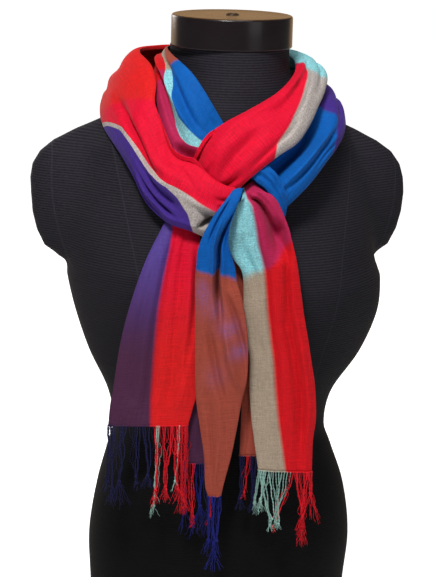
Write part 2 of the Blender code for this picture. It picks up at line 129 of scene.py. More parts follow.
# Cap
CAP_RADIUS = 58.8
CAP_HEIGHT = 32.0
CAP_GAP = 0.3
CAP_STEP = 1.7
CAP_CHAMFER = 0.7
CAP_SIDE = 14.0
CAP_SHIFT = -1.3
CAP_TOP = (NECK_TOP + CAP_GAP + CAP_HEIGHT) * MM
CAP_AROUND = 128
CAP_CREASE = math.radians(50)
PLUG_RADIUS = 50.0
RIM_ROUND = 2.4
RIM_STEPS = 7
DISH_EDGE = ((4.5, 0.25), (6.0, 0.5))
DISH_RADIUS = 30.0
DISH_DEPTH = 0.4
SCREW_RADIUS = 5.5
SCREW_HEIGHT = 1.2
SCREW_ROUND = 1.2
SCREW_STEPS = 4
SCREW_AROUND = 36
# The washer's and the driving hole's radii and heights, from the plate and the screw's top.
WASHER = ((1.2, -0.4), (1.0, 0.3), (0.0, 0.5))
DRIVING_HOLE = ((2.2, -0.1), (1.9, -0.8), (0.0, -0.8))

# A row of a stretch gives a point of its upper or left edge, a point of its lower or right edge,
# how far the cloth bulges between them and how far its edges tuck under.
ROW_COLUMNS = (
    "upper_right", "upper_down", "upper_out",
    "lower_right", "lower_down", "lower_out",
    "bulge", "tuck",
)
OUTER_LEFT = (
    (235, 187, 130, 214, 242, 126, 8, 3),
    (225, 185, 133, 201, 236, 129, 10, 3),
    (209, 176, 134, 188, 231, 130, 13, 3),
    (194, 160, 129, 170, 225, 127, 15, 3),
    (180, 156, 123, 155, 215, 120, 16, 4),
    (169, 146, 115, 142, 199, 111, 16, 4),
    (160, 120, 99, 131, 174, 97, 15, 4),
    (154, 101, 82, 119, 152, 78, 12, 4),
    (156, 82, 60, 106, 132, 46, 12, 3),
    (150, 64, 34, 101, 117, 14, 14, 3),
    (138, 51, 2, 107, 108, -22, 14, 3),
    (146, 46, -32, 130, 107, -58, 12, 3),
    (182, 44, -58, 176, 109, -80, 10, 3),
    (232.2, 44, -66, 232.2, 110, -88, 10, 3),
)
OUTER_RIGHT = (
    (250, 178, 112, 268, 224, 112, 8, 3),
    (266, 166, 111, 289, 206, 113, 10, 3),
    (284, 152, 104, 312, 183, 105, 13, 3),
    (300, 138, 88, 329, 160, 86, 14, 4),
    (310, 122, 72, 338, 149, 64, 12, 4),
    (317, 106, 50, 344, 136, 38, 8, 3),
    (321, 97, 25, 343, 122, 8, 7, 3),
    (320, 86, -6, 335, 112, -26, 7, 3),
    (304, 70, -43, 311, 109, -60, 8, 3),
    (268, 49, -60, 274, 109, -82, 10, 3),
    (232.2, 43, -69, 232.2, 109, -91, 10, 3),
)
INNER_LEFT = (
    (236, 142, 90, 216, 172, 108, 3, 2),
    (223, 122, 88, 197, 160, 108, 4, 2),
    (213, 105, 87, 180, 155, 104, 5, 2),
    (204, 90, 84, 168, 140, 94, 6, 2),
    (193, 74, 76, 160, 118, 78, 6, 2),
    (181, 62, 62, 156, 98, 62, 5, 2),
    (171, 53, 40, 154, 84, 38, 4, 2),
    (169, 47, 8, 156, 76, 4, 3, 2),
    (182, 44, -26, 176, 76, -32, 3, 2),
    (232, 43, -43, 232, 78, -50, 3, 2),
)
INNER_RIGHT = (
    (188, 172, 114, 224, 198, 120, 8, 3),
    (196, 152, 120, 238, 190, 128, 11, 3),
    (207, 135, 119, 247, 181, 130, 14, 3),
    (224, 122, 112, 262, 168, 128, 14, 3),
    (244, 111, 102, 281, 153, 121, 13, 3),
    (262, 101, 92, 299, 141, 108, 12, 3),
    (277, 92, 78, 311, 124, 88, 10, 3),
    (288, 82, 58, 319, 106, 62, 8, 3),
    (295, 71, 30, 325, 91, 35, 7, 3),
    (292, 63, 0, 325, 78, 4, 7, 3),
    (277, 55, -26, 307, 72, -32, 7, 3),
    (258, 49, -38, 276, 75, -48, 7, 3),
    (232, 43, -43, 232, 78, -50, 7, 3),
)
KNOT_LOBE = (
    (251, 176, 122, 264, 161, 120, 2, 1),
    (256, 182, 124, 269, 166, 121, 3, 1),
    (265, 189, 124, 277, 174, 121, 3, 1),
    (272, 200, 122, 284, 188, 118, 3, 1),
    (277, 213, 118, 286, 202, 114, 2, 1),
    (280, 222, 114, 285, 213, 111, 1, 1),
)
TAIL_LEFT = (
    (172, 208, 111, 192, 206, 113, 2, 1),
    (166, 220, 115, 197, 222, 116, 3, 1),
    (160, 231, 118, 200, 236, 120, 4, 1),
    (145, 262, 124, 202, 262, 128, 4, 1),
    (130, 305, 125, 203, 305, 130, 4, 1),
    (120, 345, 120, 202, 345, 128, 4, 1),
    (113, 389, 116, 198, 389, 126, 4, 1),
    (110, 405, 115, 193, 408, 125, 4, 1),
    (108, 425, 114, 188, 425, 124, 4, 1),
)
TAIL_MIDDLE = (
    (233, 190, 137, 243, 188, 137, 2, 1),
    (225, 201, 142, 241, 197, 142, 3, 1),
    (215, 214, 144, 236, 209, 145, 4, 1),
    (205, 231, 144, 230, 225, 146, 5, 1),
    (198, 249, 142, 228, 245, 145, 5, 1),
    (196, 268, 140, 234, 266, 143, 5, 1),
    (195, 282, 138, 237, 282, 141, 5, 1),
    (195, 311, 136, 243, 303, 140, 5, 1),
    (195, 345, 134, 248, 340, 139, 5, 1),
    (195, 378, 133, 247, 378, 137, 5, 1),
    (196, 400, 132, 242, 400, 136, 5, 1),
    (200, 428, 131, 237, 428, 134, 4, 1),
    (204, 457, 130, 231, 457, 133, 4, 1),
    (205, 484, 130, 224, 483, 132, 3, 1),
    (208, 496, 130, 221, 496, 132, 2, 1),
)
TAIL_RIGHT = (
    (243, 184, 126, 253, 177, 122, 2, 1),
    (241, 195, 132, 262, 186, 128, 3, 1),
    (236, 203, 137, 270, 192, 132, 4, 1),
    (231, 213, 137, 279, 204, 134, 5, 1),
    (227, 228, 136, 288, 226, 134, 5, 1),
    (225, 241, 134, 292, 241, 133, 5, 1),
    (233, 260, 133, 297, 262, 132, 5, 1),
    (243, 277, 133, 300, 280, 130, 5, 1),
    (244, 318, 131, 305, 318, 127, 5, 1),
    (246, 341, 130, 309, 341, 125, 5, 1),
    (250, 358, 129, 312, 361, 124, 5, 1),
    (250, 390, 127, 316, 390, 122, 5, 1),
    (252, 420, 126, 317, 420, 120, 5, 1),
    (255, 443, 125, 314, 443, 119, 5, 1),
    (259, 472, 124, 313, 474, 118, 4, 1),
)
UNDER_LEFT = (
    (180, 238, 117, 200, 238, 118, 2, 1),
    (178, 290, 123, 212, 290, 124, 2, 1),
    (180, 345, 119, 214, 345, 121, 2, 1),
    (183, 400, 115, 215, 400, 118, 2, 1),
    (185, 438, 114, 214, 438, 117, 2, 1),
    (184, 463, 114, 212, 463, 117, 2, 1),
)
UNDER_RIGHT = (
    (232, 250, 121, 256, 250, 121, 2, 1),
    (234, 300, 122, 262, 300, 121, 2, 1),
    (238, 345, 121, 266, 345, 119, 2, 1),
    (242, 400, 119, 262, 400, 117, 2, 1),
    (240, 457, 118, 257, 457, 116, 2, 1),
)

# The cover's seams, alike on both sides: how far out each lies at a height, how it leans and
# curves, its width, where it starts and how far back it shows, all in millimetres.
SEAM_COLUMNS = ("height", "reach", "slope", "curve", "width", "lowest", "farthest")
SEAMS = (
    (470, 173, 0.03, 0.0026, 1.1, 388, 200),
    (400, 100, 0.17, 0.0, 0.9, 250, 0),
)

# Each stretch's rows, the hand its cloth faces, its steps along and across, how many degrees its
# edges roll under, the finish it takes, how the cloth is held, and what it lies on, in the order
# of laying.
STRETCH_COLUMNS = ("rows", "hand", "along", "across", "turn", "slot", "held", "lies_on")
STRETCHES = {
    "wrap_inner_left": (INNER_LEFT, 1, 130, 64, 0, "cloth_blue", "gathered", ("form_torso",)),
    "wrap_inner_right": (
        INNER_RIGHT, -1, 130, 56, 28, "cloth_red", "gathered", ("form_torso", "wrap_inner_left"),
    ),
    "wrap_outer_right": (
        OUTER_RIGHT, -1, 130, 64, 28, "cloth_violet", "gathered", ("form_torso", "wrap_inner_right"),
    ),
    "knot_lobe": (KNOT_LOBE, 1, 40, 24, 0, "cloth_blue", "folded", ("wrap_outer_right",)),
    "tail_under_left": (UNDER_LEFT, 1, 80, 24, 0, "cloth_plum", "hung", ("form_torso",)),
    "tail_under_right": (UNDER_RIGHT, 1, 80, 24, 0, "cloth_brown", "hung", ("form_torso",)),
    "tail_left": (
        TAIL_LEFT, 1, 110, 64, 0, "cloth_red", "hung", ("form_torso", "tail_under_left"),
    ),
    "wrap_outer_left": (
        OUTER_LEFT, 1, 160, 72, 28, "cloth_red", "gathered",
        ("form_torso", "wrap_inner_left", "wrap_inner_right", "tail_left"),
    ),
    "tail_middle": (
        TAIL_MIDDLE, 1, 140, 48, 0, "cloth_brown", "hung",
        ("wrap_outer_left", "tail_under_left", "tail_left"),
    ),
    "tail_right": (
        TAIL_RIGHT, 1, 140, 56, 0, "cloth_red", "hung",
        ("wrap_outer_right", "knot_lobe", "tail_under_right"),
    ),
}

# The folds: where each starts and ends along its stretch, where its line lies across it at the
# start, the middle and the end, its depth in millimetres, more than nothing for a trough, and its
# half width as a share across.
FOLD_COLUMNS = (
    "stretch", "start", "end", "start_across", "middle_across", "end_across", "depth", "half_width",
)
FOLDS = (
    ("wrap_outer_left", 0.28, 0.68, 0.40, 0.48, 0.60, 5.5, 0.060),
    ("wrap_outer_left", 0.18, 0.46, 0.74, 0.64, 0.62, 6.0, 0.075),
    ("wrap_outer_left", -0.05, 0.16, 0.66, 0.62, 0.56, 4.5, 0.080),
    ("wrap_outer_left", 0.00, 0.24, 0.44, 0.46, 0.50, -2.0, 0.060),
    ("wrap_outer_left", 0.72, 1.00, 0.36, 0.38, 0.45, 4.5, 0.100),
    ("wrap_outer_left", 0.70, 0.98, 0.72, 0.68, 0.72, 3.0, 0.060),
    ("wrap_outer_left", 0.34, 0.56, 0.22, 0.22, 0.26, 2.0, 0.060),
    ("wrap_outer_left", 0.18, 0.46, 0.88, 0.79, 0.74, 5.5, 0.040),
    ("wrap_outer_left", 0.00, 0.13, 0.60, 0.68, 0.84, 8.0, 0.065),
    ("wrap_outer_left", 0.10, 0.58, 0.06, 0.07, 0.10, 6.0, 0.110),
    ("wrap_outer_left", 0.22, 0.52, 0.92, 0.94, 0.92, 4.0, 0.080),
    ("wrap_outer_left", 0.16, 0.40, 0.30, 0.20, 0.14, 2.6, 0.050),
    ("wrap_outer_left", -0.04, 0.12, 0.22, 0.24, 0.28, 2.2, 0.040),
    ("wrap_outer_left", -0.04, 0.09, 0.40, 0.38, 0.36, 1.6, 0.035),
    ("wrap_outer_left", 0.08, 0.34, 0.84, 0.88, 0.86, -1.6, 0.050),
    ("wrap_outer_right", -0.05, 0.60, 0.30, 0.22, 0.18, 11.0, 0.170),
    ("wrap_outer_right", 0.04, 0.46, 0.56, 0.52, 0.48, -3.0, 0.070),
    ("wrap_outer_right", 0.06, 0.52, 0.66, 0.68, 0.62, 2.4, 0.060),
    ("wrap_outer_right", 0.45, 1.00, 0.60, 0.50, 0.45, 4.5, 0.100),
    ("wrap_outer_right", 0.60, 0.98, 0.80, 0.76, 0.72, 2.6, 0.060),
    ("wrap_outer_right", 0.20, 0.44, 0.84, 0.82, 0.84, 1.4, 0.040),
    ("wrap_inner_left", 0.12, 0.95, 0.59, 0.50, 0.24, -3.6, 0.060),
    ("wrap_inner_left", 0.10, 0.80, 0.46, 0.38, 0.10, 2.6, 0.060),
    ("wrap_inner_left", 0.15, 0.70, 0.80, 0.72, 0.56, 3.0, 0.070),
    ("wrap_inner_left", 0.05, 0.40, 0.22, 0.20, 0.12, 1.0, 0.060),
    ("wrap_inner_left", 0.03, 0.30, 0.99, 0.95, 0.92, 7.0, 0.090),
    ("wrap_inner_right", 0.04, 0.36, 0.66, 0.58, 0.48, 4.0, 0.110),
    ("wrap_inner_right", -0.06, 0.20, 0.72, 0.80, 0.88, 4.0, 0.060),
    ("wrap_inner_right", -0.05, 0.26, 0.08, 0.06, 0.04, 6.0, 0.140),
    ("wrap_inner_right", 0.18, 0.50, 0.90, 0.84, 0.70, 2.4, 0.040),
    ("wrap_inner_right", 0.36, 0.66, 0.34, 0.32, 0.24, 3.0, 0.110),
    ("wrap_inner_right", 0.30, 0.72, 0.80, 0.62, 0.36, 1.0, 0.040),
    ("wrap_inner_right", 0.10, 0.50, 0.20, 0.16, 0.14, -1.4, 0.070),
    ("wrap_inner_right", 0.48, 0.80, 0.16, 0.14, 0.16, -2.4, 0.070),
    ("wrap_inner_right", 0.56, 0.95, 0.76, 0.74, 0.66, 1.6, 0.080),
    ("wrap_inner_right", -0.04, 0.14, 0.34, 0.38, 0.40, 1.8, 0.045),
    ("knot_lobe", -0.10, 0.90, 0.36, 0.42, 0.44, 1.8, 0.090),
    ("knot_lobe", 0.10, 1.10, 0.70, 0.72, 0.70, 1.2, 0.080),
    ("tail_middle", 0.12, 0.62, 1.15, 0.57, 0.58, 12.0, 0.060),
    ("tail_middle", 0.16, 0.52, 1.02, 0.86, 0.78, 4.0, 0.160),
    ("tail_middle", 0.14, 0.54, 0.62, 0.48, 0.36, -2.6, 0.070),
    ("tail_middle", 0.04, 0.30, 0.34, 0.36, 0.34, 2.4, 0.060),
    ("tail_middle", 0.46, 0.70, 0.40, 0.62, 0.96, -4.0, 0.080),
    ("tail_middle", 0.44, 0.66, 0.64, 0.84, 1.02, 3.2, 0.060),
    ("tail_middle", 0.50, 0.76, 0.22, 0.42, 0.74, 3.4, 0.070),
    ("tail_middle", 0.60, 0.95, 0.24, 0.30, 0.36, 1.4, 0.070),
    ("tail_middle", 0.55, 1.05, 0.58, 0.54, 0.52, -1.2, 0.090),
    ("tail_right", 0.03, 0.46, 0.18, 0.69, 0.66, 8.5, 0.055),
    ("tail_right", 0.10, 0.46, 0.26, 0.54, 0.52, -2.4, 0.060),
    ("tail_right", 0.04, 0.28, 0.62, 0.82, 0.92, -2.4, 0.080),
    ("tail_right", 0.24, 0.45, 0.82, 0.83, 0.82, 8.0, 0.095),
    ("tail_right", 0.36, 0.62, 0.92, 0.80, 0.66, 2.6, 0.050),
    ("tail_right", 0.40, 1.05, 0.74, 0.78, 0.80, 3.4, 0.045),
    ("tail_right", 0.16, 0.44, 0.12, 0.20, 0.30, -1.6, 0.090),
    ("tail_right", 0.30, 0.56, 0.30, 0.24, 0.18, 2.4, 0.070),
    ("tail_right", 0.18, 1.05, 0.48, 0.42, 0.44, 2.6, 0.050),
    ("tail_right", 0.46, 1.05, 0.66, 0.70, 0.74, 2.6, 0.060),
    ("tail_right", 0.50, 1.05, 0.86, 0.88, 0.87, -1.6, 0.060),
    ("tail_right", 0.60, 0.95, 0.20, 0.24, 0.22, 1.2, 0.070),
    ("tail_left", 0.10, 1.05, 0.36, 0.40, 0.46, 3.0, 0.060),
    ("tail_left", 0.15, 1.05, 0.62, 0.66, 0.72, 1.8, 0.050),
    ("tail_left", 0.30, 0.75, 0.92, 0.88, 0.80, 2.4, 0.040),
    ("tail_left", 0.20, 1.05, 0.80, 0.82, 0.84, -1.8, 0.070),
    ("tail_left", 0.30, 0.95, 0.18, 0.20, 0.22, 1.6, 0.060),
    ("tail_under_left", 0.30, 1.05, 0.50, 0.55, 0.60, 1.4, 0.100),
    ("tail_under_right", 0.30, 1.05, 0.50, 0.45, 0.40, 1.2, 0.100),
)

# How far the cloth stands out from its solid along a stretch: a place along it and millimetres.
PROUD = {
    "wrap_outer_right": ((0.0, 0.0), (0.38, 0.0), (0.52, 6.0), (0.74, 6.5), (0.9, 0.0)),
    "tail_under_right": ((0.0, -8.0), (0.3, -8.0), (0.5, 0.0)),
}

# The warp stripes are numbered navy 0, red 1, mint 2 and royal 3. Each stretch has the number of
# its first stripe, the step to the next, and rows of a place along it and where the edges between
# its stripes lie across it there.
STRIPE_COLUMNS = ("first", "step", "edges")
STRIPE_BEYOND = 0.9
STRIPE_BLUR = 0.03
STRIPES = {
    "wrap_outer_left": (1, 1, (
        (0.00, 0.46, 1.10), (0.075, 0.46, 1.05), (0.13, 0.44, 0.98), (0.175, 0.42, 0.70),
        (0.225, 0.44, 0.57), (0.29, 0.43, 0.49), (0.367, 0.44, 0.50), (0.433, 0.51, 0.57),
        (0.50, 0.58, 0.64), (0.55, 0.65, 0.71), (0.60, 0.82, 0.88), (0.65, 1.00, 1.07),
        (0.75, 0.95, 1.05), (0.85, 0.76, 0.88), (1.00, 0.60, 0.74),
    )),
    "wrap_inner_left": (3, -1, (
        (0.00, 0.58, 0.74), (0.158, 0.62, 0.77), (0.225, 0.60, 0.785), (0.29, 0.607, 0.785),
        (0.345, 0.615, 0.75), (0.38, 0.58, 0.70), (0.423, 0.53, 0.64), (0.476, 0.44, 0.57),
        (0.513, 0.39, 0.51), (0.56, 0.325, 0.44), (0.589, 0.28, 0.39), (0.63, 0.21, 0.32),
        (0.69, 0.13, 0.25), (0.80, 0.02, 0.22), (0.90, -0.30, 0.70), (1.00, -0.60, 1.20),
    )),
    "wrap_inner_right": (1, 1, (
        (0.00, 1.30, 1.80), (0.30, 1.04, 1.60), (0.342, 0.84, 1.50), (0.392, 0.74, 1.40),
        (0.458, 0.61, 1.30), (0.533, 0.50, 1.25), (0.60, 0.41, 1.20), (0.67, 0.31, 1.20),
        (0.71, 0.05, 1.20), (0.76, -0.20, 1.20), (1.00, -0.50, 1.20),
    )),
    "wrap_outer_right": (1, 1, (
        (0.00, -0.60, -0.40), (0.60, -0.40, -0.20), (0.72, -0.10, 0.06),
        (0.85, 0.30, 0.46), (1.00, 0.60, 0.74),
    )),
    "knot_lobe": (3, -1, ((0.00, 1.40, 1.80), (1.00, 1.40, 1.80))),
    "tail_left": (0, 1, (
        (0.00, 0.02, 1.40), (0.12, 0.16, 1.40), (0.225, 0.29, 1.40), (0.342, 0.38, 1.40),
        (0.517, 0.40, 1.40), (0.642, 0.43, 1.40), (0.80, 0.47, 1.40), (1.00, 0.54, 1.40),
    )),
    "tail_middle": (3, -1, ((0.00, 1.40, 1.80), (1.00, 1.40, 1.80))),
    "tail_right": (2, -1, (
        (0.00, 0.10, 1.50), (0.075, 0.24, 1.50), (0.20, 0.44, 1.50), (0.25, 0.46, 1.50),
        (0.342, 0.49, 1.50), (0.425, 0.46, 1.50), (0.508, 0.39, 1.50), (0.608, 0.41, 1.50),
        (0.708, 0.38, 1.50), (0.783, 0.39, 1.50), (0.867, 0.41, 1.50), (1.00, 0.50, 1.50),
    )),
    "tail_under_left": (0, 1, ((0.00, 1.40, 1.80), (1.00, 1.40, 1.80))),
    "tail_under_right": (3, -1, ((0.00, 1.40, 1.80), (1.00, 1.40, 1.80))),
}

# The weft bands are numbered rust 0, blue 1, plum 2 and rust again 3. A row gives a band number,
# whose whole part changes at the border of two bands, and where along the stretch that number
# lies at its first edge, its middle and its last edge.
WEFTS = {
    "wrap_outer_left": ((2.2, 0.0, 0.0, 0.0), (3.0, 0.54, 0.62, 0.68), (3.5, 1.0, 1.0, 1.0)),
    "wrap_inner_left": ((1.5, 0.0, 0.0, 0.0), (1.0, 0.58, 0.60, 0.61), (0.5, 1.0, 1.0, 1.0)),
    "wrap_inner_right": ((2.5, 0.0, 0.0, 0.0), (2.0, 0.70, 0.69, 0.72), (1.5, 1.0, 1.0, 1.0)),
    "wrap_outer_right": (
        (1.5, 0.0, 0.0, 0.0), (2.0, 0.52, 0.50, 0.34), (2.5, 0.75, 0.75, 0.7), (3.0, 0.9, 0.9, 0.9),
        (3.5, 1.0, 1.0, 1.0),
    ),
    "knot_lobe": ((1.5, 0.0, 0.0, 0.0), (1.4, 1.0, 1.0, 1.0)),
    "tail_left": ((2.96, 0.0, 0.0, 0.0), (3.0, 0.48, 0.50, 0.50), (3.04, 1.0, 1.0, 1.0)),
    "tail_middle": ((1.5, 0.0, 0.0, 0.0), (1.0, 0.365, 0.385, 0.42), (0.5, 1.0, 1.0, 1.0)),
    "tail_right": ((1.5, 0.0, 0.0, 0.0), (1.0, 0.505, 0.47, 0.36), (0.5, 1.0, 1.0, 1.0)),
    "tail_under_left": ((0.5, 0.0, 0.0, 0.0), (0.4, 1.0, 1.0, 1.0)),
    "tail_under_right": ((0.5, 0.0, 0.0, 0.0), (0.4, 1.0, 1.0, 1.0)),
}

# The cloth's colour in each weft band, where the navy, red, mint and royal stripes cross it, as
# screen colours.
WEAVE_COLOURS = {
    "rust": ((74, 38, 66), (204, 14, 26), (164, 148, 128), (154, 70, 54)),
    "blue": ((66, 56, 142), (178, 34, 80), (136, 202, 208), (2, 88, 168)),
    "plum": ((78, 58, 134), (214, 8, 46), (172, 164, 158), (66, 42, 130)),
    "rust again": ((74, 38, 66), (212, 26, 28), (180, 156, 132), (154, 70, 54)),
}
# Painted sheen and shade: spots where a blue-violet is painted into the colour. On the tails it
# stands in for the sheen of shot cloth, where the royal warp shows as the cloth turns to the light;
# the spot on wrap_outer_left is painted shade, mauve in a hollow of the pale stripe. A stretch,
# the place along and across it, how far the painted colour reaches each way and how strong it is.
PAINTED_SHEEN_AND_SHADE_COLUMNS = ("stretch", "along", "across", "reach_along", "reach_across", "strength")
PAINTED_SHEEN_AND_SHADE = (
    ("tail_middle", 0.455, 0.20, 0.045, 0.20, 0.80),
    ("tail_middle", 0.505, 0.46, 0.018, 0.16, 0.60),
    ("tail_middle", 0.545, 0.66, 0.016, 0.20, 0.90),
    ("tail_middle", 0.590, 0.84, 0.014, 0.18, 0.95),
    ("tail_middle", 0.640, 0.40, 0.030, 0.22, 0.30),
    ("tail_left", 0.300, 0.14, 0.160, 0.12, 0.45),
    # Painted shade: mauve in a hollow of the pale stripe near the knot.
    ("wrap_outer_left", 0.085, 0.55, 0.030, 0.12, 0.40),
)
PAINTED_SHEEN_AND_SHADE_COLOUR = (112, 100, 176)
# How much of the painted sheen and shade shows on every thread, and how much more on the broken ones.
PAINTED_SHEEN_AND_SHADE_STEADY = 0.2
PAINTED_SHEEN_AND_SHADE_BROKEN = 0.65

# The uneven threads: how quickly each kind changes across and along the cloth, for each millimetre.
SLUBS = (
    ("warp", 1.5, 0.05), ("weft", 0.045, 1.5), ("specks", 1.3, 1.3), ("dashes", 0.2, 2.0),
    ("flecks", 0.6, 0.6),
)
# The pale stripe's number at its middle, how far the flecks reach from it, and their contrast.
PALE_MIDDLE = 2.5
PALE_REACH = 0.48
FLECK_CONTRAST = 0.42
RUST_FADE = 0.6
# The darker threads that cross the plaid: their tint and the share of the cloth that they take.
CROSSING_TINT = (0.52, 0.42, 0.62, 1)
CROSSING_SHARE = 0.4
RAGGED_EDGE = 0.01
# How much of the mixed threads comes from the weft and from the specks, against one of warp.
WEFT_SHARE = 1.3
SPECK_SHARE = 0.7
# The spans of the noise that give tones and dashes, and the darkest and the lightest thread's tone.
TONE_RANGE = (0.36, 0.64)
DASH_RANGE = (0.5, 0.66)
THREAD_TONES = (0.7, 1.24)
# The relief's depths in metres, the ribs' pitch in millimetres, and the heights in metres between
# which the cover's painted shade goes from its darkest to none, with those tones: the cover is
# painted darker towards its foot, standing in for the light falling off there.
THREAD_RELIEF = 0.0004
YARN_RELIEF = 0.0003
RIB_RELIEF = 0.0005
RIB_PITCH = 2.5
COVER_PAINTED_SHADE = (0.15, 0.46, 0.05, 1.0)
YARN_BLUR = 0.01
YARN_COLOURS = ((12, 14, 58), (196, 12, 30), (138, 176, 166), (18, 26, 108))


def screen(colour):
    """A linear colour from a screen colour of three numbers up to 255."""
    parts = [value / 255 for value in colour]
    return tuple(p / 12.92 if p <= 0.04045 else ((p + 0.055) / 1.055) ** 2.4 for p in parts)


def at(right, down, out):
    """The place, in metres, that the viewer sees at this place on the sheet and this far out."""
    tilt = math.atan2(EYE_HEIGHT - AIM_HEIGHT, EYE_DISTANCE)
    centre = SHEET_WIDTH / 2 - AXIS_RIGHT
    eye = Vector((centre, -EYE_DISTANCE, EYE_HEIGHT))
    up = Vector((0, math.sin(tilt), math.cos(tilt)))
    from_middle = Vector((right - SHEET_WIDTH / 2, SHEET_HEIGHT / 2 - down))
    from_middle.rotate(Matrix.Rotation(VIEW_ROLL, 2))
    seen = Vector((centre + from_middle.x, 0, AIM_HEIGHT)) + up * from_middle.y
    reach = (EYE_DISTANCE - out) / (seen.y - eye.y)
    place = eye + (seen - eye) * reach
    return Matrix.Rotation(VIEW_TURN, 3, "Z") @ place * MM


def smooth_row(columns, rows, share):
    """The row at this share of the way along a table, on a smooth curve through its rows."""
    place = share * (len(rows) - 1)
    i = min(int(place), len(rows) - 2)
    t = place - i
    p1, p2 = np.array(rows[i], float), np.array(rows[i + 1], float)
    p0 = np.array(rows[i - 1], float) if i else 2 * p1 - p2
    p3 = np.array(rows[i + 2], float) if i + 2 < len(rows) else 2 * p2 - p1
    bend = 2 * p0 - 5 * p1 + 4 * p2 - p3 + t * (3 * (p1 - p2) + p3 - p0)
    return dict(zip(columns, p1 + t / 2 * (p2 - p0 + t * bend)))


def new_mesh(name, points, faces):
    """A smooth-shaded mesh object in the scene."""
    mesh = bpy.data.meshes.new(name)
    mesh.from_pydata([tuple(p) for p in points], [], faces)
    mesh.shade_smooth()
    obj = bpy.data.objects.new(name, mesh)
    bpy.context.scene.collection.objects.link(obj)
    return obj


def tree_of(objects):
    """The surfaces of these objects, to lay cloth on."""
    points, faces = [], []
    graph = bpy.context.evaluated_depsgraph_get()
    for obj in objects:
        mesh = obj.evaluated_get(graph).data
        start = len(points)
        points += [obj.matrix_world @ v.co for v in mesh.vertices]
        faces += [[start + k for k in face.vertices] for face in mesh.polygons]
    return BVHTree.FromPolygons(points, faces)


def add_uv(mesh, name, values):
    """A UV map whose value at each corner is that of its vertex."""
    layer = mesh.uv_layers.new(name=name)
    corners = np.empty(len(mesh.loops), int)
    mesh.loops.foreach_get("vertex_index", corners)
    layer.data.foreach_set("uv", np.asarray(values, float)[corners].ravel())


# Cloth


def fold_depth(name, along, across):
    """How deep the folds of a stretch dent it here, in millimetres."""
    depth = 0.0
    for row in FOLDS:
        fold = dict(zip(FOLD_COLUMNS, row))
        if fold["stretch"] != name or not fold["start"] < along < fold["end"]:
            continue
        x = (along - fold["start"]) / (fold["end"] - fold["start"])
        line = (
            fold["start_across"] * (1 - x) * (1 - 2 * x)
            + fold["middle_across"] * 4 * x * (1 - x)
            + fold["end_across"] * x * (2 * x - 1)
        )
        fade = math.sin(math.pi * min(1.0, 2 * min(x, 1 - x) * 1.4) / 2) ** 2
        depth += fold["depth"] * fade * math.exp(-((across - line) / fold["half_width"]) ** 2)
    return depth


def proud_of(name, along):
    """How far the middle of a stretch stands out from its solid's form, in millimetres."""
    rows = PROUD.get(name, ((0.0, 0.0),))
    places, heights = zip(*rows)
    return float(np.interp(along, places, heights))


def ripple(name, along, across):
    """The slight unevenness of hand-draped cloth, in millimetres."""
    seed = list(STRETCHES).index(name) * 7.3
    swell = 0.0
    for shift, (rate_along, rate_across, height) in ((0, RIPPLE_WIDE), (3.1, RIPPLE_FINE)):
        place = Vector((along * rate_along, across * rate_across, seed + shift))
        swell += height * noise.noise(place)
    settle = min(1.0, RIPPLE_SETTLE * (1 - along)) if name.startswith("wrap") else 1.0
    return swell * settle


def section_place(share, turn):
    """Where a share of a cross-section lies across the cloth, and how much it faces outwards."""
    angle = math.radians(-turn + share * (180 + 2 * turn))
    return (1 - math.cos(angle)) / 2, math.sin(angle)


def cloth_facings(name, hand, upper, lower):
    """The way that each line of a stretch faces."""
    level = Matrix.Rotation(VIEW_TURN, 3, "Z") @ Vector((1, 0, 0))
    last = len(upper) - 1
    facings = []
    for i in range(last + 1):
        before, after = max(i - FACING_REACH, 0), min(i + FACING_REACH, last)
        run = (upper[after] + lower[after]) - (upper[before] + lower[before])
        if name.startswith("wrap") and i > last - LEVEL_LINES:
            run = hand * level
        facings.append(hand * run.cross(lower[i] - upper[i]).normalized())
    return facings


def cloth_swell(name, station, along, place, rise, folded):
    """How far the cloth stands out of the line between its edges here, in millimetres."""
    swell = rise * (station["bulge"] if rise > 0 else station["tuck"])
    if rise > 0 and folded:
        spread = min(1.0, FOLD_SPREAD * rise)
        swell -= fold_depth(name, along, place) * spread * FOLD_RELIEF
        swell += ripple(name, along, place) * spread
        swell += proud_of(name, along) * rise
    return swell


def cloth_grid(name, stretch, folded):
    """The outer points of a stretch, line by line, and the way that each line faces."""
    along, across = stretch["along"], stretch["across"]
    stations = [smooth_row(ROW_COLUMNS, stretch["rows"], i / (along - 1)) for i in range(along)]
    upper = [at(s["upper_right"], s["upper_down"], s["upper_out"]) for s in stations]
    lower = [at(s["lower_right"], s["lower_down"], s["lower_out"]) for s in stations]
    facings = cloth_facings(name, stretch["hand"], upper, lower)
    grid = []
    for i, station in enumerate(stations):
        line = []
        for j in range(across):
            place, rise = section_place(j / (across - 1), stretch["turn"])
            swell = cloth_swell(name, station, i / (along - 1), place, rise, folded)
            line.append(upper[i].lerp(lower[i], place) + facings[i] * swell * MM)
        grid.append(line)
    return grid, facings


def solid_lifts(name, grid, facings):
    """How far out or in, in metres, each line of points lies from the stretch's own solid."""
    tree = tree_of([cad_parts[name]])
    last = len(grid[0]) - 1
    lifts = []
    for line, facing in zip(grid, facings):
        gaps = []
        for share in LIFT_PLACES:
            start = line[round(share * last)] + facing * FAR_REACH * MM
            hit, _, _, distance = tree.ray_cast(start, -facing, 2 * FAR_REACH * MM)
            if hit:
                gaps.append(FAR_REACH * MM - distance)
        lifts.append(float(np.percentile(gaps, LIFT_SHARE)) if len(gaps) > 2 else None)
    known = [i for i, lift in enumerate(lifts) if lift is not None]
    full = np.interp(range(len(lifts)), known, [lifts[i] for i in known])
    window = np.ones(LIFT_WINDOW) / LIFT_WINDOW
    return np.convolve(np.pad(full, LIFT_WINDOW // 2, mode="edge"), window, mode="valid")


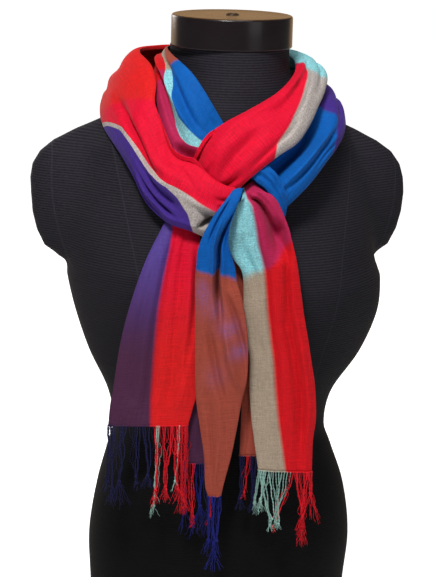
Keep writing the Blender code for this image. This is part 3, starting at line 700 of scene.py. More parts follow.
def spread_push(push):
    """The same pushes, with no steps between neighbouring points."""
    rows, columns = push.shape
    for _ in range(PUSH_ROUNDS):
        wide = np.pad(push, 1, mode="edge")
        near = sum(wide[a:a + rows, b:b + columns] for a in range(3) for b in range(3))
        push = np.maximum(push, near / 9)
    return push


def push_clear(grid, facings, below):
    """Pushes the points that would lie in the cloth or the form below out until they are clear."""
    tree = tree_of(below)
    push = np.zeros((len(grid), len(grid[0])))
    for i, (line, facing) in enumerate(zip(grid, facings)):
        for j, point in enumerate(line):
            start = point + facing * FAR_REACH * MM
            hit, _, _, distance = tree.ray_cast(start, -facing, (FAR_REACH + CLOTH_CLEAR) * MM)
            if hit:
                need = FAR_REACH + CLOTH_CLEAR - distance / MM
                push[i, j] = need if need < MOST_PUSH else 0.0
    push = spread_push(push)
    for i, line in enumerate(grid):
        grid[i] = [point + facings[i] * push[i, j] * MM for j, point in enumerate(line)]


def stripe_number(name, along, across):
    """Which warp stripe lies here, as its number and how far across it."""
    stripe = dict(zip(STRIPE_COLUMNS, STRIPES[name]))
    places, inners, outers = zip(*stripe["edges"])
    inner = np.interp(along, places, inners)
    outer = np.interp(along, places, outers)
    beyond = STRIPE_BEYOND * (outer - inner)
    number = np.interp(
        across, [inner - beyond, inner, outer, outer + beyond],
        [1 - STRIPE_BEYOND, 1, 2, 2 + STRIPE_BEYOND],
    )
    return stripe["first"] + (number if stripe["step"] > 0 else 1 - number)


def weft_number(name, along, across):
    """Which weft band lies here, as its number and how far along it."""
    rows = WEFTS[name]
    places = [np.interp(across, [0, 0.5, 1], row[1:]) for row in rows]
    return np.interp(along, places, [row[0] for row in rows])


def painted_sheen_and_shade_at(name, along, across):
    """How strongly the painted sheen and shade show here."""
    strength = 0.0
    for row in PAINTED_SHEEN_AND_SHADE:
        spot = dict(zip(PAINTED_SHEEN_AND_SHADE_COLUMNS, row))
        if spot["stretch"] == name:
            away = math.hypot(
                (along - spot["along"]) / spot["reach_along"],
                (across - spot["across"]) / spot["reach_across"],
            )
            strength += spot["strength"] * math.exp(-away ** 2)
    return min(strength, 1.0)


def cloth_lengths(grid):
    """How far each point of a grid lies along and across the cloth, in millimetres."""
    points = np.array([[tuple(p) for p in line] for line in grid]) / MM
    down = np.linalg.norm(np.diff(points, axis=0), axis=2)
    side = np.linalg.norm(np.diff(points, axis=1), axis=2)
    along = np.vstack([np.zeros(points.shape[1]), np.cumsum(down, axis=0)])
    across = np.hstack([np.zeros((points.shape[0], 1)), np.cumsum(side, axis=1)])
    across -= across[:, -1:] / 2
    return along.mean(axis=1), across


def shell_faces(along, across, hand):
    """The faces between a grid's points, turned the way that the cloth faces."""
    faces = []
    for i in range(along - 1):
        for j in range(across - 1):
            a = i * across + j
            faces.append((a, a + across, a + across + 1, a + 1)[::hand])
    return faces


def mark_cloth(cloth, name, stretch, grid):
    """Marks each point's stripe, weft band, threads, and its painted sheen and shade, and gives the
    flat size.
    """
    lengths, widths = cloth_lengths(grid)
    along, across = len(grid), len(grid[0])
    stripes, threads, glints = [], [], []
    for i in range(along):
        share = i / (along - 1)
        for j in range(across):
            place, _ = section_place(j / (across - 1), stretch["turn"])
            stripes.append((stripe_number(name, share, place), weft_number(name, share, place)))
            threads.append((widths[i, j], lengths[i]))
            glints.append((painted_sheen_and_shade_at(name, share, place), 0.0))
    add_uv(cloth.data, "stripes", stripes)
    add_uv(cloth.data, "threads", threads)
    add_uv(cloth.data, "glints", glints)
    width = float((widths[:, -1] - widths[:, 0]).mean()) * MM
    return width, float(lengths[-1]) * MM


def add_cloth(name, stretch, below):
    """One stretch of the scarf as a thin shell on its solid's form."""
    plain, facings = cloth_grid(name, stretch, False)
    lifts = solid_lifts(name, plain, facings)
    grid, facings = cloth_grid(name, stretch, True)
    for i, line in enumerate(grid):
        grid[i] = [point + facings[i] * lifts[i] for point in line]
    push_clear(grid, facings, below)
    faces = shell_faces(len(grid), len(grid[0]), stretch["hand"])
    cloth = new_mesh(name + "_cloth", [p for line in grid for p in line], faces)
    flat = mark_cloth(cloth, name, stretch, grid)
    wall = cloth.modifiers.new("wall", "SOLIDIFY")
    wall.thickness = CLOTH_THICKNESS * MM
    wall.offset = -1
    cloth.data.materials.append(bpy.data.materials["woven_cloth"])
    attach(cloth, "root")
    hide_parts(name)
    bpy.context.view_layer.update()
    return cloth, grid, flat


# Form and cap


def arm_reach(ring, across, ahead):
    """How far from the axis the arm stumps reach in this direction."""
    depth = ring["arm_depth"]
    square = (across / ring["arm_width"]) ** 2 + (ahead / depth) ** 2
    slope = ahead * ARM_SETBACK / depth ** 2
    rest = (ARM_SETBACK / depth) ** 2 - 1
    inside = slope ** 2 - square * rest
    return (-slope + math.sqrt(max(inside, 0.0))) / square


def form_ring(ring):
    """The points round one ring of the dress form."""
    rise = math.exp(-((ring["height"] - BUST_HEIGHT) / BUST_RISE) ** 2)
    points = []
    for k in range(FORM_AROUND):
        angle = 2 * math.pi * k / FORM_AROUND
        across, ahead = math.sin(angle), math.cos(angle)
        depth = ring["front"] if ahead > 0 else ring["back"]
        radius = math.hypot(across / ring["half_width"], ahead / depth) ** -1
        if ring["arm_depth"] > ARM_SETBACK + 2:
            arm = arm_reach(ring, across, ahead)
            radius = (radius ** ARM_BLEND + max(arm, 1.0) ** ARM_BLEND) ** (1 / ARM_BLEND)
        turn = min(angle, 2 * math.pi - angle)
        radius += BUST_SWELL * rise * math.exp(-((turn - BUST_TURN) / BUST_SPREAD) ** 2)
        points.append(Vector((ring["shift"] + radius * across, -radius * ahead, ring["height"])) * MM)
    return points


def cover_rings():
    """The rings of the cover, on smooth curves between the rows of its table."""
    heights = [row[0] for row in FORM_RINGS]
    rings = []
    for i in range(FORM_RISERS):
        ring = smooth_row(FORM_COLUMNS, FORM_RINGS, i / (FORM_RISERS - 1))
        ring["height"] = min(max(ring["height"], 0.0), NECK_TOP)
        for column in ("arm_width", "arm_depth"):
            values = [row[FORM_COLUMNS.index(column)] for row in FORM_RINGS]
            ring[column] = float(np.interp(ring["height"], heights, values))
        rings.append(form_ring(ring))
    return rings


def lip_rings():
    """The rings of the cover's lip, which stands round the cap's plug."""
    lip_top = NECK_TOP + LIP_HEIGHT
    rings = []
    for inset, height in ((0.0, lip_top), (LIP_WIDTH, lip_top), (LIP_WIDTH, NECK_TOP)):
        ring = dict(zip(FORM_COLUMNS, FORM_RINGS[-1]), height=height)
        for column in ("front", "back", "half_width"):
            ring[column] -= inset
        rings.append(form_ring(ring))
    return rings


def add_form():
    """The torso's stretched cover, smooth between the same rings as its solid."""
    rings = cover_rings() + lip_rings()
    points = [p for ring in rings for p in ring]
    faces = [tuple(range(FORM_AROUND - 1, -1, -1))]
    for i in range(len(rings) - 1):
        for k in range(FORM_AROUND):
            a, b = i * FORM_AROUND + k, i * FORM_AROUND + (k + 1) % FORM_AROUND
            faces.append((a, b, b + FORM_AROUND, a + FORM_AROUND))
    top = (len(rings) - 1) * FORM_AROUND
    faces.append(tuple(range(top, top + FORM_AROUND)))
    form = new_mesh("form_cover", points, faces)
    form.data.set_sharp_from_angle(angle=FORM_CREASE)
    form.data.materials.append(bpy.data.materials["ribbed_cover"])
    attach(form, "root")
    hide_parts("form_torso")
    bpy.context.view_layer.update()
    return form


def add_turned(name, profile, around, centre, material):
    """A closed solid turned about an upright axis from a profile of radii and heights."""
    mesh = bmesh.new()
    line = [mesh.verts.new((r * MM, 0, z * MM)) for r, z in profile]
    edges = [mesh.edges.new(pair) for pair in zip(line, line[1:])]
    bmesh.ops.spin(
        mesh, geom=line + edges, axis=(0, 0, 1), cent=(0, 0, 0), angle=2 * math.pi,
        steps=around, use_merge=True,
    )
    bmesh.ops.remove_doubles(mesh, verts=mesh.verts, dist=1e-6)
    bmesh.ops.recalc_face_normals(mesh, faces=mesh.faces)
    bmesh.ops.translate(mesh, verts=mesh.verts, vec=centre)
    data = bpy.data.meshes.new(name)
    mesh.to_mesh(data)
    mesh.free()
    data.shade_smooth()
    data.set_sharp_from_angle(angle=CAP_CREASE)
    data.materials.append(bpy.data.materials[material])
    obj = bpy.data.objects.new(name, data)
    bpy.context.scene.collection.objects.link(obj)
    return obj


def rounded(radius, height, size, steps):
    """Points round a quarter turn, from the side at this radius to the face at this height."""
    points = []
    for step in range(steps + 1):
        angle = math.pi / 2 * step / steps
        inset = size * (1 - math.cos(angle))
        drop = size * (1 - math.sin(angle))
        points.append((radius - inset, height - drop))
    return points


def neck_centre():
    """The point on the floor under the middle of the neck cap."""
    neck = dict(zip(FORM_COLUMNS, FORM_RINGS[-1]))
    return Vector((neck["shift"] + CAP_SHIFT, -(neck["front"] - neck["back"]) / 2, 0)) * MM


def add_cap():
    """The hard cap on the neck: a plug below, a straight side, a rounded rim and a shallow dish."""
    base = NECK_TOP + CAP_GAP
    step = base + CAP_STEP
    top = base + CAP_HEIGHT
    profile = [(0, base), (PLUG_RADIUS, base), (PLUG_RADIUS, step)]
    profile += [(CAP_RADIUS - CAP_CHAMFER, step), (CAP_RADIUS, step + CAP_CHAMFER)]
    profile += [(CAP_RADIUS, step + 2 * CAP_CHAMFER), (CAP_RADIUS, base + CAP_SIDE)]
    profile += rounded(CAP_RADIUS, top, RIM_ROUND, RIM_STEPS)
    profile += [(CAP_RADIUS - inset, top - drop) for inset, drop in DISH_EDGE]
    profile += [(DISH_RADIUS, top - DISH_DEPTH), (0, top - DISH_DEPTH)]
    cap = add_turned("neck_cap_shell", profile, CAP_AROUND, neck_centre(), "glossy_cap")
    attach(cap, "root")
    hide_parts("neck_cap")


def add_screw():
    """The screw at the middle of the cap, with its washer and its driving hole."""
    top_face = NECK_TOP + CAP_GAP + CAP_HEIGHT
    top = top_face + SCREW_HEIGHT
    profile = [(0, top_face + WASHER[0][1])]
    profile += [(SCREW_RADIUS + wider, top_face + rise) for wider, rise in WASHER]
    profile += rounded(SCREW_RADIUS, top, SCREW_ROUND, SCREW_STEPS)
    profile += [(radius, top + rise) for radius, rise in DRIVING_HOLE]
    screw = add_turned("neck_cap_screw", profile, SCREW_AROUND, neck_centre(), "screw_steel")
    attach(screw, "root")


# Fringe

# The bunches of each fringe: where its roots start and end across the hem, where across the hem
# they draw together, how far down in millimetres, how far down the strands end, how many twisted
# strands and how many loose threads it has, and the warp stripe that they come from.
BUNCH_COLUMNS = ("from", "to", "gather", "gather_down", "end_down", "strands", "threads", "stripe")
BUNCHES = {
    "tail_left": (
        (0.01, 0.10, 0.05, 50, 70, 3, 2, 0),
        (0.10, 0.22, 0.18, 60, 82, 4, 2, 0),
        (0.22, 0.34, 0.26, 54, 86, 3, 3, 0),
        (0.34, 0.46, 0.42, 50, 66, 3, 2, 0),
        (0.46, 0.55, 0.52, 46, 64, 3, 2, 0),
        (0.55, 0.62, 0.58, 64, 82, 3, 4, 1),
        (0.57, 0.61, 0.575, 70, 96, 2, 1, 2),
        (0.62, 0.72, 0.66, 60, 78, 4, 5, 1),
        (0.70, 0.80, 0.78, 56, 80, 4, 5, 1),
        (0.77, 0.80, 0.75, 52, 66, 1, 1, 2),
        (0.80, 0.90, 0.86, 66, 90, 4, 5, 1),
        (0.90, 1.00, 0.93, 74, 92, 3, 5, 1),
    ),
    "tail_middle": (
        (0.05, 0.35, 0.30, 40, 60, 3, 2, 3),
        (0.35, 0.65, 0.52, 52, 78, 3, 2, 3),
        (0.65, 0.98, 0.62, 44, 66, 3, 2, 3),
    ),
    "tail_right": (
        (0.02, 0.12, -0.06, 32, 42, 3, 1, 2),
        (0.06, 0.20, 0.34, 48, 62, 4, 1, 2),
        (0.18, 0.34, 0.14, 28, 46, 3, 1, 2),
        (0.28, 0.46, 0.42, 50, 60, 4, 2, 2),
        (0.44, 0.58, 0.38, 46, 58, 3, 1, 2),
        (0.54, 0.60, 0.34, 54, 62, 1, 3, 1),
        (0.60, 0.74, 0.76, 44, 66, 4, 4, 1),
        (0.72, 0.86, 0.72, 52, 76, 4, 4, 1),
        (0.84, 1.00, 0.96, 22, 56, 4, 4, 1),
    ),
    "tail_under_left": (
        (0.00, 0.25, 0.16, 46, 72, 3, 3, 3),
        (0.20, 0.45, 0.40, 54, 66, 3, 5, 1),
        (0.40, 0.70, 0.56, 40, 80, 4, 3, 3),
        (0.60, 0.85, 0.80, 44, 74, 3, 3, 0),
        (0.80, 1.00, 0.96, 50, 64, 2, 4, 1),
    ),
    "tail_under_right": (
        (0.00, 0.40, 0.22, 40, 58, 4, 2, 0),
        (0.40, 0.60, 0.40, 34, 48, 1, 4, 1),
        (0.55, 1.00, 0.76, 42, 60, 4, 2, 0),
    ),
}
YARN_RADIUS = 0.36
THREAD_RADIUS = 0.2
YARN_SIDES = 5
TWIST_PITCH = 7.0
TWIST_REACH = 0.8
STRAND_PIECES = 34
THREAD_SIDES = 4
# How a strand hangs: how far it is drawn to its bunch's knot and how sharply, the length in which
# it comes free of the hem, and the lengths of its waves and curls, in millimetres.
PULL_SHARE = 0.9
PULL_POWER = 1.25
FREE_LENGTH = 16
WAVE_PITCH = 17
CURL_PITCH = 5
# How far the waves and the curls move it sideways, outwards and down, how it fans out below the
# knot, and how far it stands off the cloth.
WAVE_REACH = (2.6, 1.3)
CURL_REACH = (0.7, 0.5, 0.8)
FAN = 0.22
STAND_OFF = 0.7
LEAST_STAND_OFF = 0.1
YARN_LOOSENESS = 1.0
THREAD_LOOSENESS = 2.2
# The mathutils noise takes its offsets from the clock unless it has a seed.
NOISE_SEED = 5
KNOT_RADIUS = 1.15
KNOT_SIDES = 7
HEM_RADIUS = 0.75
HEM_SIDES = 6
HEM_RISE = 0.4
TASSEL_THREADS = 4
TASSEL_STEPS = 8
TASSEL_CURL = 1.6
TASSEL_CURL_PITCH = 4
TASSEL_FREE_LENGTH = 3
# A tassel thread's radius at its start, in thread radii, and how much less it is at each step.
TASSEL_START = 1.3
TASSEL_TAPER = 0.06
SHORTEST_TASSEL = 7
# The knot's bead: places along it and its radius there, in knot radii.
BEAD = ((-1.3, 0.3), (-0.9, 0.8), (-0.3, 1.05), (0.3, 1.0), (0.9, 0.85), (1.3, 0.3))


def add_tube(points, faces, line, radii, sides):
    """A closed tube round a line of points, with a radius at each."""
    start = len(points)
    ahead = None
    for i, place in enumerate(line):
        run = (line[min(i + 1, len(line) - 1)] - line[max(i - 1, 0)]).normalized()
        if ahead is None:
            ahead = run.orthogonal().normalized()
        ahead = (ahead - run * ahead.dot(run)).normalized()
        side = run.cross(ahead)
        for k in range(sides):
            angle = 2 * math.pi * k / sides
            points.append(place + (ahead * math.cos(angle) + side * math.sin(angle)) * radii[i])
    for i in range(len(line) - 1):
        for k in range(sides):
            a, b = start + i * sides + k, start + i * sides + (k + 1) % sides
            faces.append((a, b, b + sides, a + sides))
    faces.append(tuple(start + k for k in reversed(range(sides))))
    last = start + (len(line) - 1) * sides
    faces.append(tuple(last + k for k in range(sides)))


def hem_place(hem, share):
    """The point at this share of the way across a hem."""
    place = min(max(share, 0.0), 1.0) * (len(hem) - 1)
    i = min(int(place), len(hem) - 2)
    point = hem[i].lerp(hem[i + 1], place - i)
    beyond = share - min(max(share, 0.0), 1.0)
    return point + (hem[-1] - hem[0]) * beyond


def strand_line(hem, root, bunch, reach, loose, rng):
    """The middle line of one strand, drawn towards its bunch's knot and free below it."""
    gather = hem_place(hem, bunch["gather"])
    start = hem_place(hem, root)
    side = (hem[-1] - hem[0]).normalized()
    out = side.cross(Vector((0, 0, 1))).normalized()
    seed = Vector((rng.uniform(0, 90), rng.uniform(0, 90), rng.uniform(0, 90)))
    part = rng.uniform(-1, 1)
    line = []
    for step in range(STRAND_PIECES + 1):
        drop = reach * (step / STRAND_PIECES)
        pull = PULL_SHARE * min(1.0, drop / bunch["gather_down"]) ** PULL_POWER
        beyond = max(0.0, drop - bunch["gather_down"])
        place = start.lerp(gather, pull)
        wave = noise.noise_vector(seed + Vector((0, 0, drop / WAVE_PITCH)))
        curl = noise.noise_vector(seed + Vector((9, 0, drop / CURL_PITCH)))
        free = min(1.0, drop / FREE_LENGTH) * loose
        sway = (wave.x * WAVE_REACH[0] + curl.x * CURL_REACH[0]) * free + beyond * FAN * part
        ahead = (wave.y * WAVE_REACH[1] + curl.y * CURL_REACH[1]) * free + STAND_OFF
        place.z = start.z - (drop + curl.z * CURL_REACH[2] * free) * MM
        line.append(place + (side * sway + out * max(ahead, LEAST_STAND_OFF)) * MM)
    return line


def add_twisted(points, faces, line):
    """Two yarns twisted round each other along a line."""
    length = (line[0] - line[-1]).length / MM
    for turn in (0, math.pi):
        twisted = []
        for i, place in enumerate(line):
            run = (line[min(i + 1, len(line) - 1)] - line[max(i - 1, 0)]).normalized()
            ahead = run.cross(Vector((0, 1, 0))).normalized()
            side = run.cross(ahead)
            angle = turn + i / (len(line) - 1) * length / TWIST_PITCH * 2 * math.pi
            away = TWIST_REACH * YARN_RADIUS * MM
            twisted.append(place + (ahead * math.cos(angle) + side * math.sin(angle)) * away)
        add_tube(points, faces, twisted, [YARN_RADIUS * MM] * len(twisted), YARN_SIDES)


def add_knot(points, faces, place, run):
    """A small round knot."""
    line = [place + run * along * KNOT_RADIUS * MM for along, _ in BEAD]
    radii = [radius * KNOT_RADIUS * MM for _, radius in BEAD]
    add_tube(points, faces, line, radii, KNOT_SIDES)


def add_tassel(points, faces, place, length, rng):
    """The loose yarn ends that curl out under a knot."""
    for k in range(TASSEL_THREADS):
        way = Vector((rng.uniform(-0.6, 0.6), rng.uniform(-0.35, 0.1), -1)).normalized()
        seed = Vector((rng.uniform(0, 90), k, 0))
        line, radii = [], []
        for step in range(TASSEL_STEPS + 1):
            drop = length * rng.uniform(0.97, 1.0) * step / TASSEL_STEPS
            curl = noise.noise_vector(seed + Vector((0, 0, drop / TASSEL_CURL_PITCH)))
            curl *= min(1.0, drop / TASSEL_FREE_LENGTH) * TASSEL_CURL
            line.append(place + (way * drop + curl) * MM)
            radii.append(THREAD_RADIUS * (TASSEL_START - TASSEL_TAPER * step) * MM)
        add_tube(points, faces, line, radii, THREAD_SIDES)


def add_strand(points, faces, hem, root, bunch, rng):
    """A twisted strand with its knot and its tassel."""
    longest = bunch["end_down"] - SHORTEST_TASSEL
    reach = min(bunch["gather_down"] * rng.uniform(1.0, 1.15), longest)
    line = strand_line(hem, root, bunch, reach, YARN_LOOSENESS, rng)
    add_twisted(points, faces, line)
    add_knot(points, faces, line[-1], (line[-1] - line[-3]).normalized())
    left = bunch["end_down"] - reach
    add_tassel(points, faces, line[-1], left * rng.uniform(0.6, 1.0), rng)


def add_thread(points, faces, hem, root, bunch, rng):
    """A loose single thread."""
    reach = bunch["end_down"] * rng.uniform(0.45, 0.95)
    line = strand_line(hem, root, bunch, reach, THREAD_LOOSENESS, rng)
    add_tube(points, faces, line, [THREAD_RADIUS * MM] * len(line), THREAD_SIDES)


def add_bunch(points, faces, hem, bunch, rng):
    """The strands and threads of one bunch, and the stripe and tone of each of their points."""
    count = bunch["strands"] + bunch["threads"]
    shares = [(k + rng.uniform(0.2, 0.8)) / count for k in range(count)]
    rng.shuffle(shares)
    stripes = []
    for k, share in enumerate(shares):
        before = len(points)
        root = bunch["from"] + (bunch["to"] - bunch["from"]) * share
        add_piece = add_strand if k < bunch["strands"] else add_thread
        add_piece(points, faces, hem, root, bunch, rng)
        stripes += [(bunch["stripe"] + 0.5, rng.random())] * (len(points) - before)
    return stripes


def add_hem_roll(points, faces, name, edge):
    """The rolled hem along a tail's end, and the stripe and weft band of each of its points."""
    add_tube(points, faces, edge, [HEM_RADIUS * MM] * len(edge), HEM_SIDES)
    turn = STRETCHES[name][STRETCH_COLUMNS.index("turn")]
    stripes = []
    for j in range(len(edge)):
        place, _ = section_place(j / (len(edge) - 1), turn)
        stripes += [(stripe_number(name, 1.0, place), weft_number(name, 1.0, place))] * HEM_SIDES
    return stripes


def add_fringe(name, edge):
    """The twisted and knotted strands and the loose threads under one rolled hem."""
    rng = random.Random(name)
    hem = [p + Vector((0, 0, HEM_RISE * MM)) for p in edge]
    points, faces, stripes = [], [], []
    for row in BUNCHES[name]:
        stripes += add_bunch(points, faces, hem, dict(zip(BUNCH_COLUMNS, row)), rng)
    first_hem_face = len(faces)
    stripes += add_hem_roll(points, faces, name, edge)
    node = name.replace("tail", "fringe")
    fringe = new_mesh(node + "_yarn", points, faces)
    add_uv(fringe.data, "stripes", stripes)
    add_uv(fringe.data, "threads", [(p.x / MM, p.z / MM) for p in points])
    # The fringe has no painted sheen or shade: all zero.
    add_uv(fringe.data, "glints", [(0.0, 0.0)] * len(points))
    fringe.data.materials.append(bpy.data.materials["fringe_yarn"])
    fringe.data.materials.append(bpy.data.materials["woven_cloth"])
    for face in list(fringe.data.polygons)[first_hem_face:]:
        face.material_index = 1
    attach(fringe, "root")
    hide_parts(node)
    return fringe


# Materials


def new_material(name):
    """A material with its node tree and its shader."""
    material = bpy.data.materials.new(name)
    material.use_nodes = True
    return material.node_tree, material.node_tree.nodes["Principled BSDF"]


def add_node(tree, kind, **values):
    """A node of a tree, with values for its properties and, by name, its inputs."""
    node = tree.nodes.new(kind)
    for key, value in values.items():
        if hasattr(node, key):
            setattr(node, key, value)
        else:
            node.inputs[key.replace("_", " ")].default_value = value
    return node


def maths(tree, operation, first, second=None, third=None):
    """A maths node whose inputs are sockets or numbers."""
    node = tree.nodes.new("ShaderNodeMath")
    node.operation = operation
    for socket, value in zip(node.inputs, (first, second, third)):
        if value is None:
            continue
        if isinstance(value, (int, float)):
            socket.default_value = value
        else:
            tree.links.new(value, socket)
    return node.outputs[0]


def object_place(tree):
    """The place on the object, in metres."""
    return tree.nodes.new("ShaderNodeTexCoord").outputs["Object"]


def uv_map(tree, name):
    """The values of a UV map."""
    return add_node(tree, "ShaderNodeUVMap", uv_map=name).outputs["UV"]


def split(tree, vector):
    """The outputs X, Y and Z of a vector."""
    part = tree.nodes.new("ShaderNodeSeparateXYZ")
    tree.links.new(vector, part.inputs[0])
    return part.outputs


def cloudy(tree, place, scale, detail):
    """Soft random noise of this scale."""
    cloud = add_node(tree, "ShaderNodeTexNoise", Scale=scale, Detail=detail)
    tree.links.new(place, cloud.inputs["Vector"])
    return cloud.outputs["Fac"]


def ranged(tree, value, low, high, to_low=0.0, to_high=1.0):
    """A value moved from one range to another."""
    node = add_node(tree, "ShaderNodeMapRange", From_Min=low, From_Max=high)
    node.inputs["To Min"].default_value = to_low
    node.inputs["To Max"].default_value = to_high
    tree.links.new(value, node.inputs["Value"])
    return node.outputs["Result"]


def scaled(tree, colour, amount):
    """A colour made lighter or darker."""
    worn = tree.nodes.new("ShaderNodeVectorMath")
    worn.operation = "SCALE"
    tree.links.new(colour, worn.inputs[0])
    tree.links.new(amount, worn.inputs["Scale"])
    return worn.outputs["Vector"]


def two_colours(tree, mask, dark, light, start=0.0, end=1.0):
    """A colour that goes from a dark one to a light one as a mask goes from start to end."""
    ramp = tree.nodes.new("ShaderNodeValToRGB")
    for stop, position, colour in zip(ramp.color_ramp.elements, (start, end), (dark, light)):
        stop.position = position
        stop.color = (*colour, 1)
    tree.links.new(mask, ramp.inputs["Fac"])
    return ramp.outputs["Color"]


def set_roughness(tree, shader, mask, least, spread):
    """Roughness that rises from its least value with a mask."""
    tree.links.new(maths(tree, "MULTIPLY_ADD", mask, spread, least), shader.inputs["Roughness"])


def set_relief(tree, shader, height, strength, depth):
    """Fine relief from a height."""
    bump = add_node(tree, "ShaderNodeBump", Strength=strength, Distance=depth)
    tree.links.new(height, bump.inputs["Height"])
    tree.links.new(bump.outputs["Normal"], shader.inputs["Normal"])


def new_group(name, inputs, outputs):
    """A shader node group with named sockets, and its input and output nodes."""
    group = bpy.data.node_groups.new(name, "ShaderNodeTree")
    for label, kind, value in inputs:
        socket = group.interface.new_socket(label, in_out="INPUT", socket_type=kind)
        if value is not None:
            socket.default_value = value
    for label, kind in outputs:
        group.interface.new_socket(label, in_out="OUTPUT", socket_type=kind)
    return group, group.nodes.new("NodeGroupInput"), group.nodes.new("NodeGroupOutput")


def stripe_ramp(tree, number, colours, blur):
    """The colour of the stripe with this number, from the colours in their order."""
    ramp = tree.nodes.new("ShaderNodeValToRGB")
    ramp.color_ramp.interpolation = "LINEAR"
    stops = ramp.color_ramp.elements
    count = len(colours)
    stops[0].position = 0.0
    stops[0].color = (*screen(colours[0]), 1)
    stops[1].position = 1.0
    stops[1].color = (*screen(colours[-1]), 1)
    for k in range(1, count):
        for colour, shift in ((colours[k - 1], -blur), (colours[k], blur)):
            stop = stops.new((k + shift) / count)
            stop.color = (*screen(colour), 1)
    tree.links.new(maths(tree, "DIVIDE", number, count), ramp.inputs["Fac"])
    return ramp.outputs["Color"]


def mix_colours(tree, factor, first, second, blend="MIX"):
    """Two colours mixed by a factor; each may be a socket or a value."""
    node = tree.nodes.new("ShaderNodeMix")
    node.data_type = "RGBA"
    node.blend_type = blend
    for index, value in ((0, factor), (6, first), (7, second)):
        if isinstance(value, (int, float, tuple)):
            node.inputs[index].default_value = value
        else:
            tree.links.new(value, node.inputs[index])
    return node.outputs[2]


def make_plaid_group():
    """The plaid's colour from a warp stripe's number and a weft band's number."""
    inputs = [
        ("Stripe", "NodeSocketFloat", 0.5),
        ("Weft", "NodeSocketFloat", 0.5),
        ("Border", "NodeSocketFloat", 0.015),
    ]
    group, entry, leave = new_group("plaid", inputs, [("Color", "NodeSocketColor")])
    colour = None
    for k, band in enumerate(WEAVE_COLOURS.values()):
        here = stripe_ramp(group, entry.outputs["Stripe"], band, STRIPE_BLUR)
        if colour is None:
            colour = here
            continue
        edge = group.nodes.new("ShaderNodeMapRange")
        edge.interpolation_type = "SMOOTHSTEP"
        group.links.new(entry.outputs["Weft"], edge.inputs["Value"])
        for operation, end in (("SUBTRACT", "From Min"), ("ADD", "From Max")):
            limit = maths(group, operation, float(k), entry.outputs["Border"])
            group.links.new(limit, edge.inputs[end])
        colour = mix_colours(group, edge.outputs["Result"], colour, here)
    group.links.new(colour, leave.inputs["Color"])
    return group


def make_weave_group():
    """Plain-woven threads with slubs: their height, and how light or dark each thread is."""
    inputs = [("Vector", "NodeSocketVector", None), ("Threads", "NodeSocketFloat", 1.0)]
    labels = ("Height", "Tone", "Over", "Dashes", "Flecks")
    outputs = [(label, "NodeSocketFloat") for label in labels]
    group, entry, leave = new_group("woven_threads", inputs, outputs)
    part = split(group, entry.outputs["Vector"])
    waves = []
    for axis in ("X", "Y"):
        thread = maths(group, "MULTIPLY", part[axis], entry.outputs["Threads"])
        waves.append(maths(group, "SINE", maths(group, "MULTIPLY", thread, math.pi)))
    over = maths(group, "MULTIPLY_ADD", maths(group, "MULTIPLY", *waves), 0.5, 0.5)
    slub = {}
    for label, stretch_x, stretch_y in SLUBS:
        mapping = add_node(group, "ShaderNodeMapping")
        mapping.inputs["Scale"].default_value = (stretch_x, stretch_y, 1)
        group.links.new(entry.outputs["Vector"], mapping.inputs["Vector"])
        speck = add_node(group, "ShaderNodeTexNoise", Scale=1.0, Detail=2.0, Roughness=0.6)
        group.links.new(mapping.outputs["Vector"], speck.inputs["Vector"])
        slub[label] = speck.outputs["Fac"]
    mixed = maths(group, "MULTIPLY_ADD", slub["weft"], WEFT_SHARE, slub["warp"])
    mixed = maths(group, "MULTIPLY_ADD", slub["specks"], SPECK_SHARE, mixed)
    tone = maths(group, "DIVIDE", mixed, 1 + WEFT_SHARE + SPECK_SHARE)
    values = {
        "Height": maths(group, "MULTIPLY_ADD", tone, 0.8, maths(group, "MULTIPLY", over, 0.5)),
        "Tone": tone,
        "Over": over,
        "Dashes": ranged(group, slub["dashes"], *DASH_RANGE),
        "Flecks": ranged(group, slub["flecks"], *TONE_RANGE),
    }
    for label, value in values.items():
        group.links.new(value, leave.inputs[label])
    return group


def add_group(tree, name):
    """A node that holds the node group of this name."""
    node = tree.nodes.new("ShaderNodeGroup")
    node.node_tree = bpy.data.node_groups[name]
    return node


def thread_tone(tree, weave, stripe, weft):
    """How light each thread is, with the pale stripe's flecks, fainter in its rust band."""
    tone = ranged(tree, weave.outputs["Tone"], *TONE_RANGE, *THREAD_TONES)
    away = maths(tree, "ABSOLUTE", maths(tree, "SUBTRACT", stripe, PALE_MIDDLE))
    pale = maths(tree, "LESS_THAN", away, PALE_REACH)
    rust = maths(tree, "LESS_THAN", weft, 1.0)
    faded = maths(tree, "MULTIPLY", maths(tree, "MULTIPLY", pale, rust), RUST_FADE)
    fleck = maths(tree, "SUBTRACT", weave.outputs["Flecks"], 0.5)
    fleck = maths(tree, "MULTIPLY", fleck, FLECK_CONTRAST)
    fleck = maths(tree, "MULTIPLY_ADD", fleck, maths(tree, "SUBTRACT", pale, faded), 1.0)
    return maths(tree, "MULTIPLY", tone, fleck)


def painted_sheen_and_shade_share(tree, weave):
    """How much of the painted sheen and shade shows here, broken by the threads."""
    broken = maths(tree, "MULTIPLY_ADD", weave.outputs["Dashes"], PAINTED_SHEEN_AND_SHADE_BROKEN, PAINTED_SHEEN_AND_SHADE_STEADY)
    return maths(tree, "MULTIPLY", split(tree, uv_map(tree, "glints"))["X"], broken)


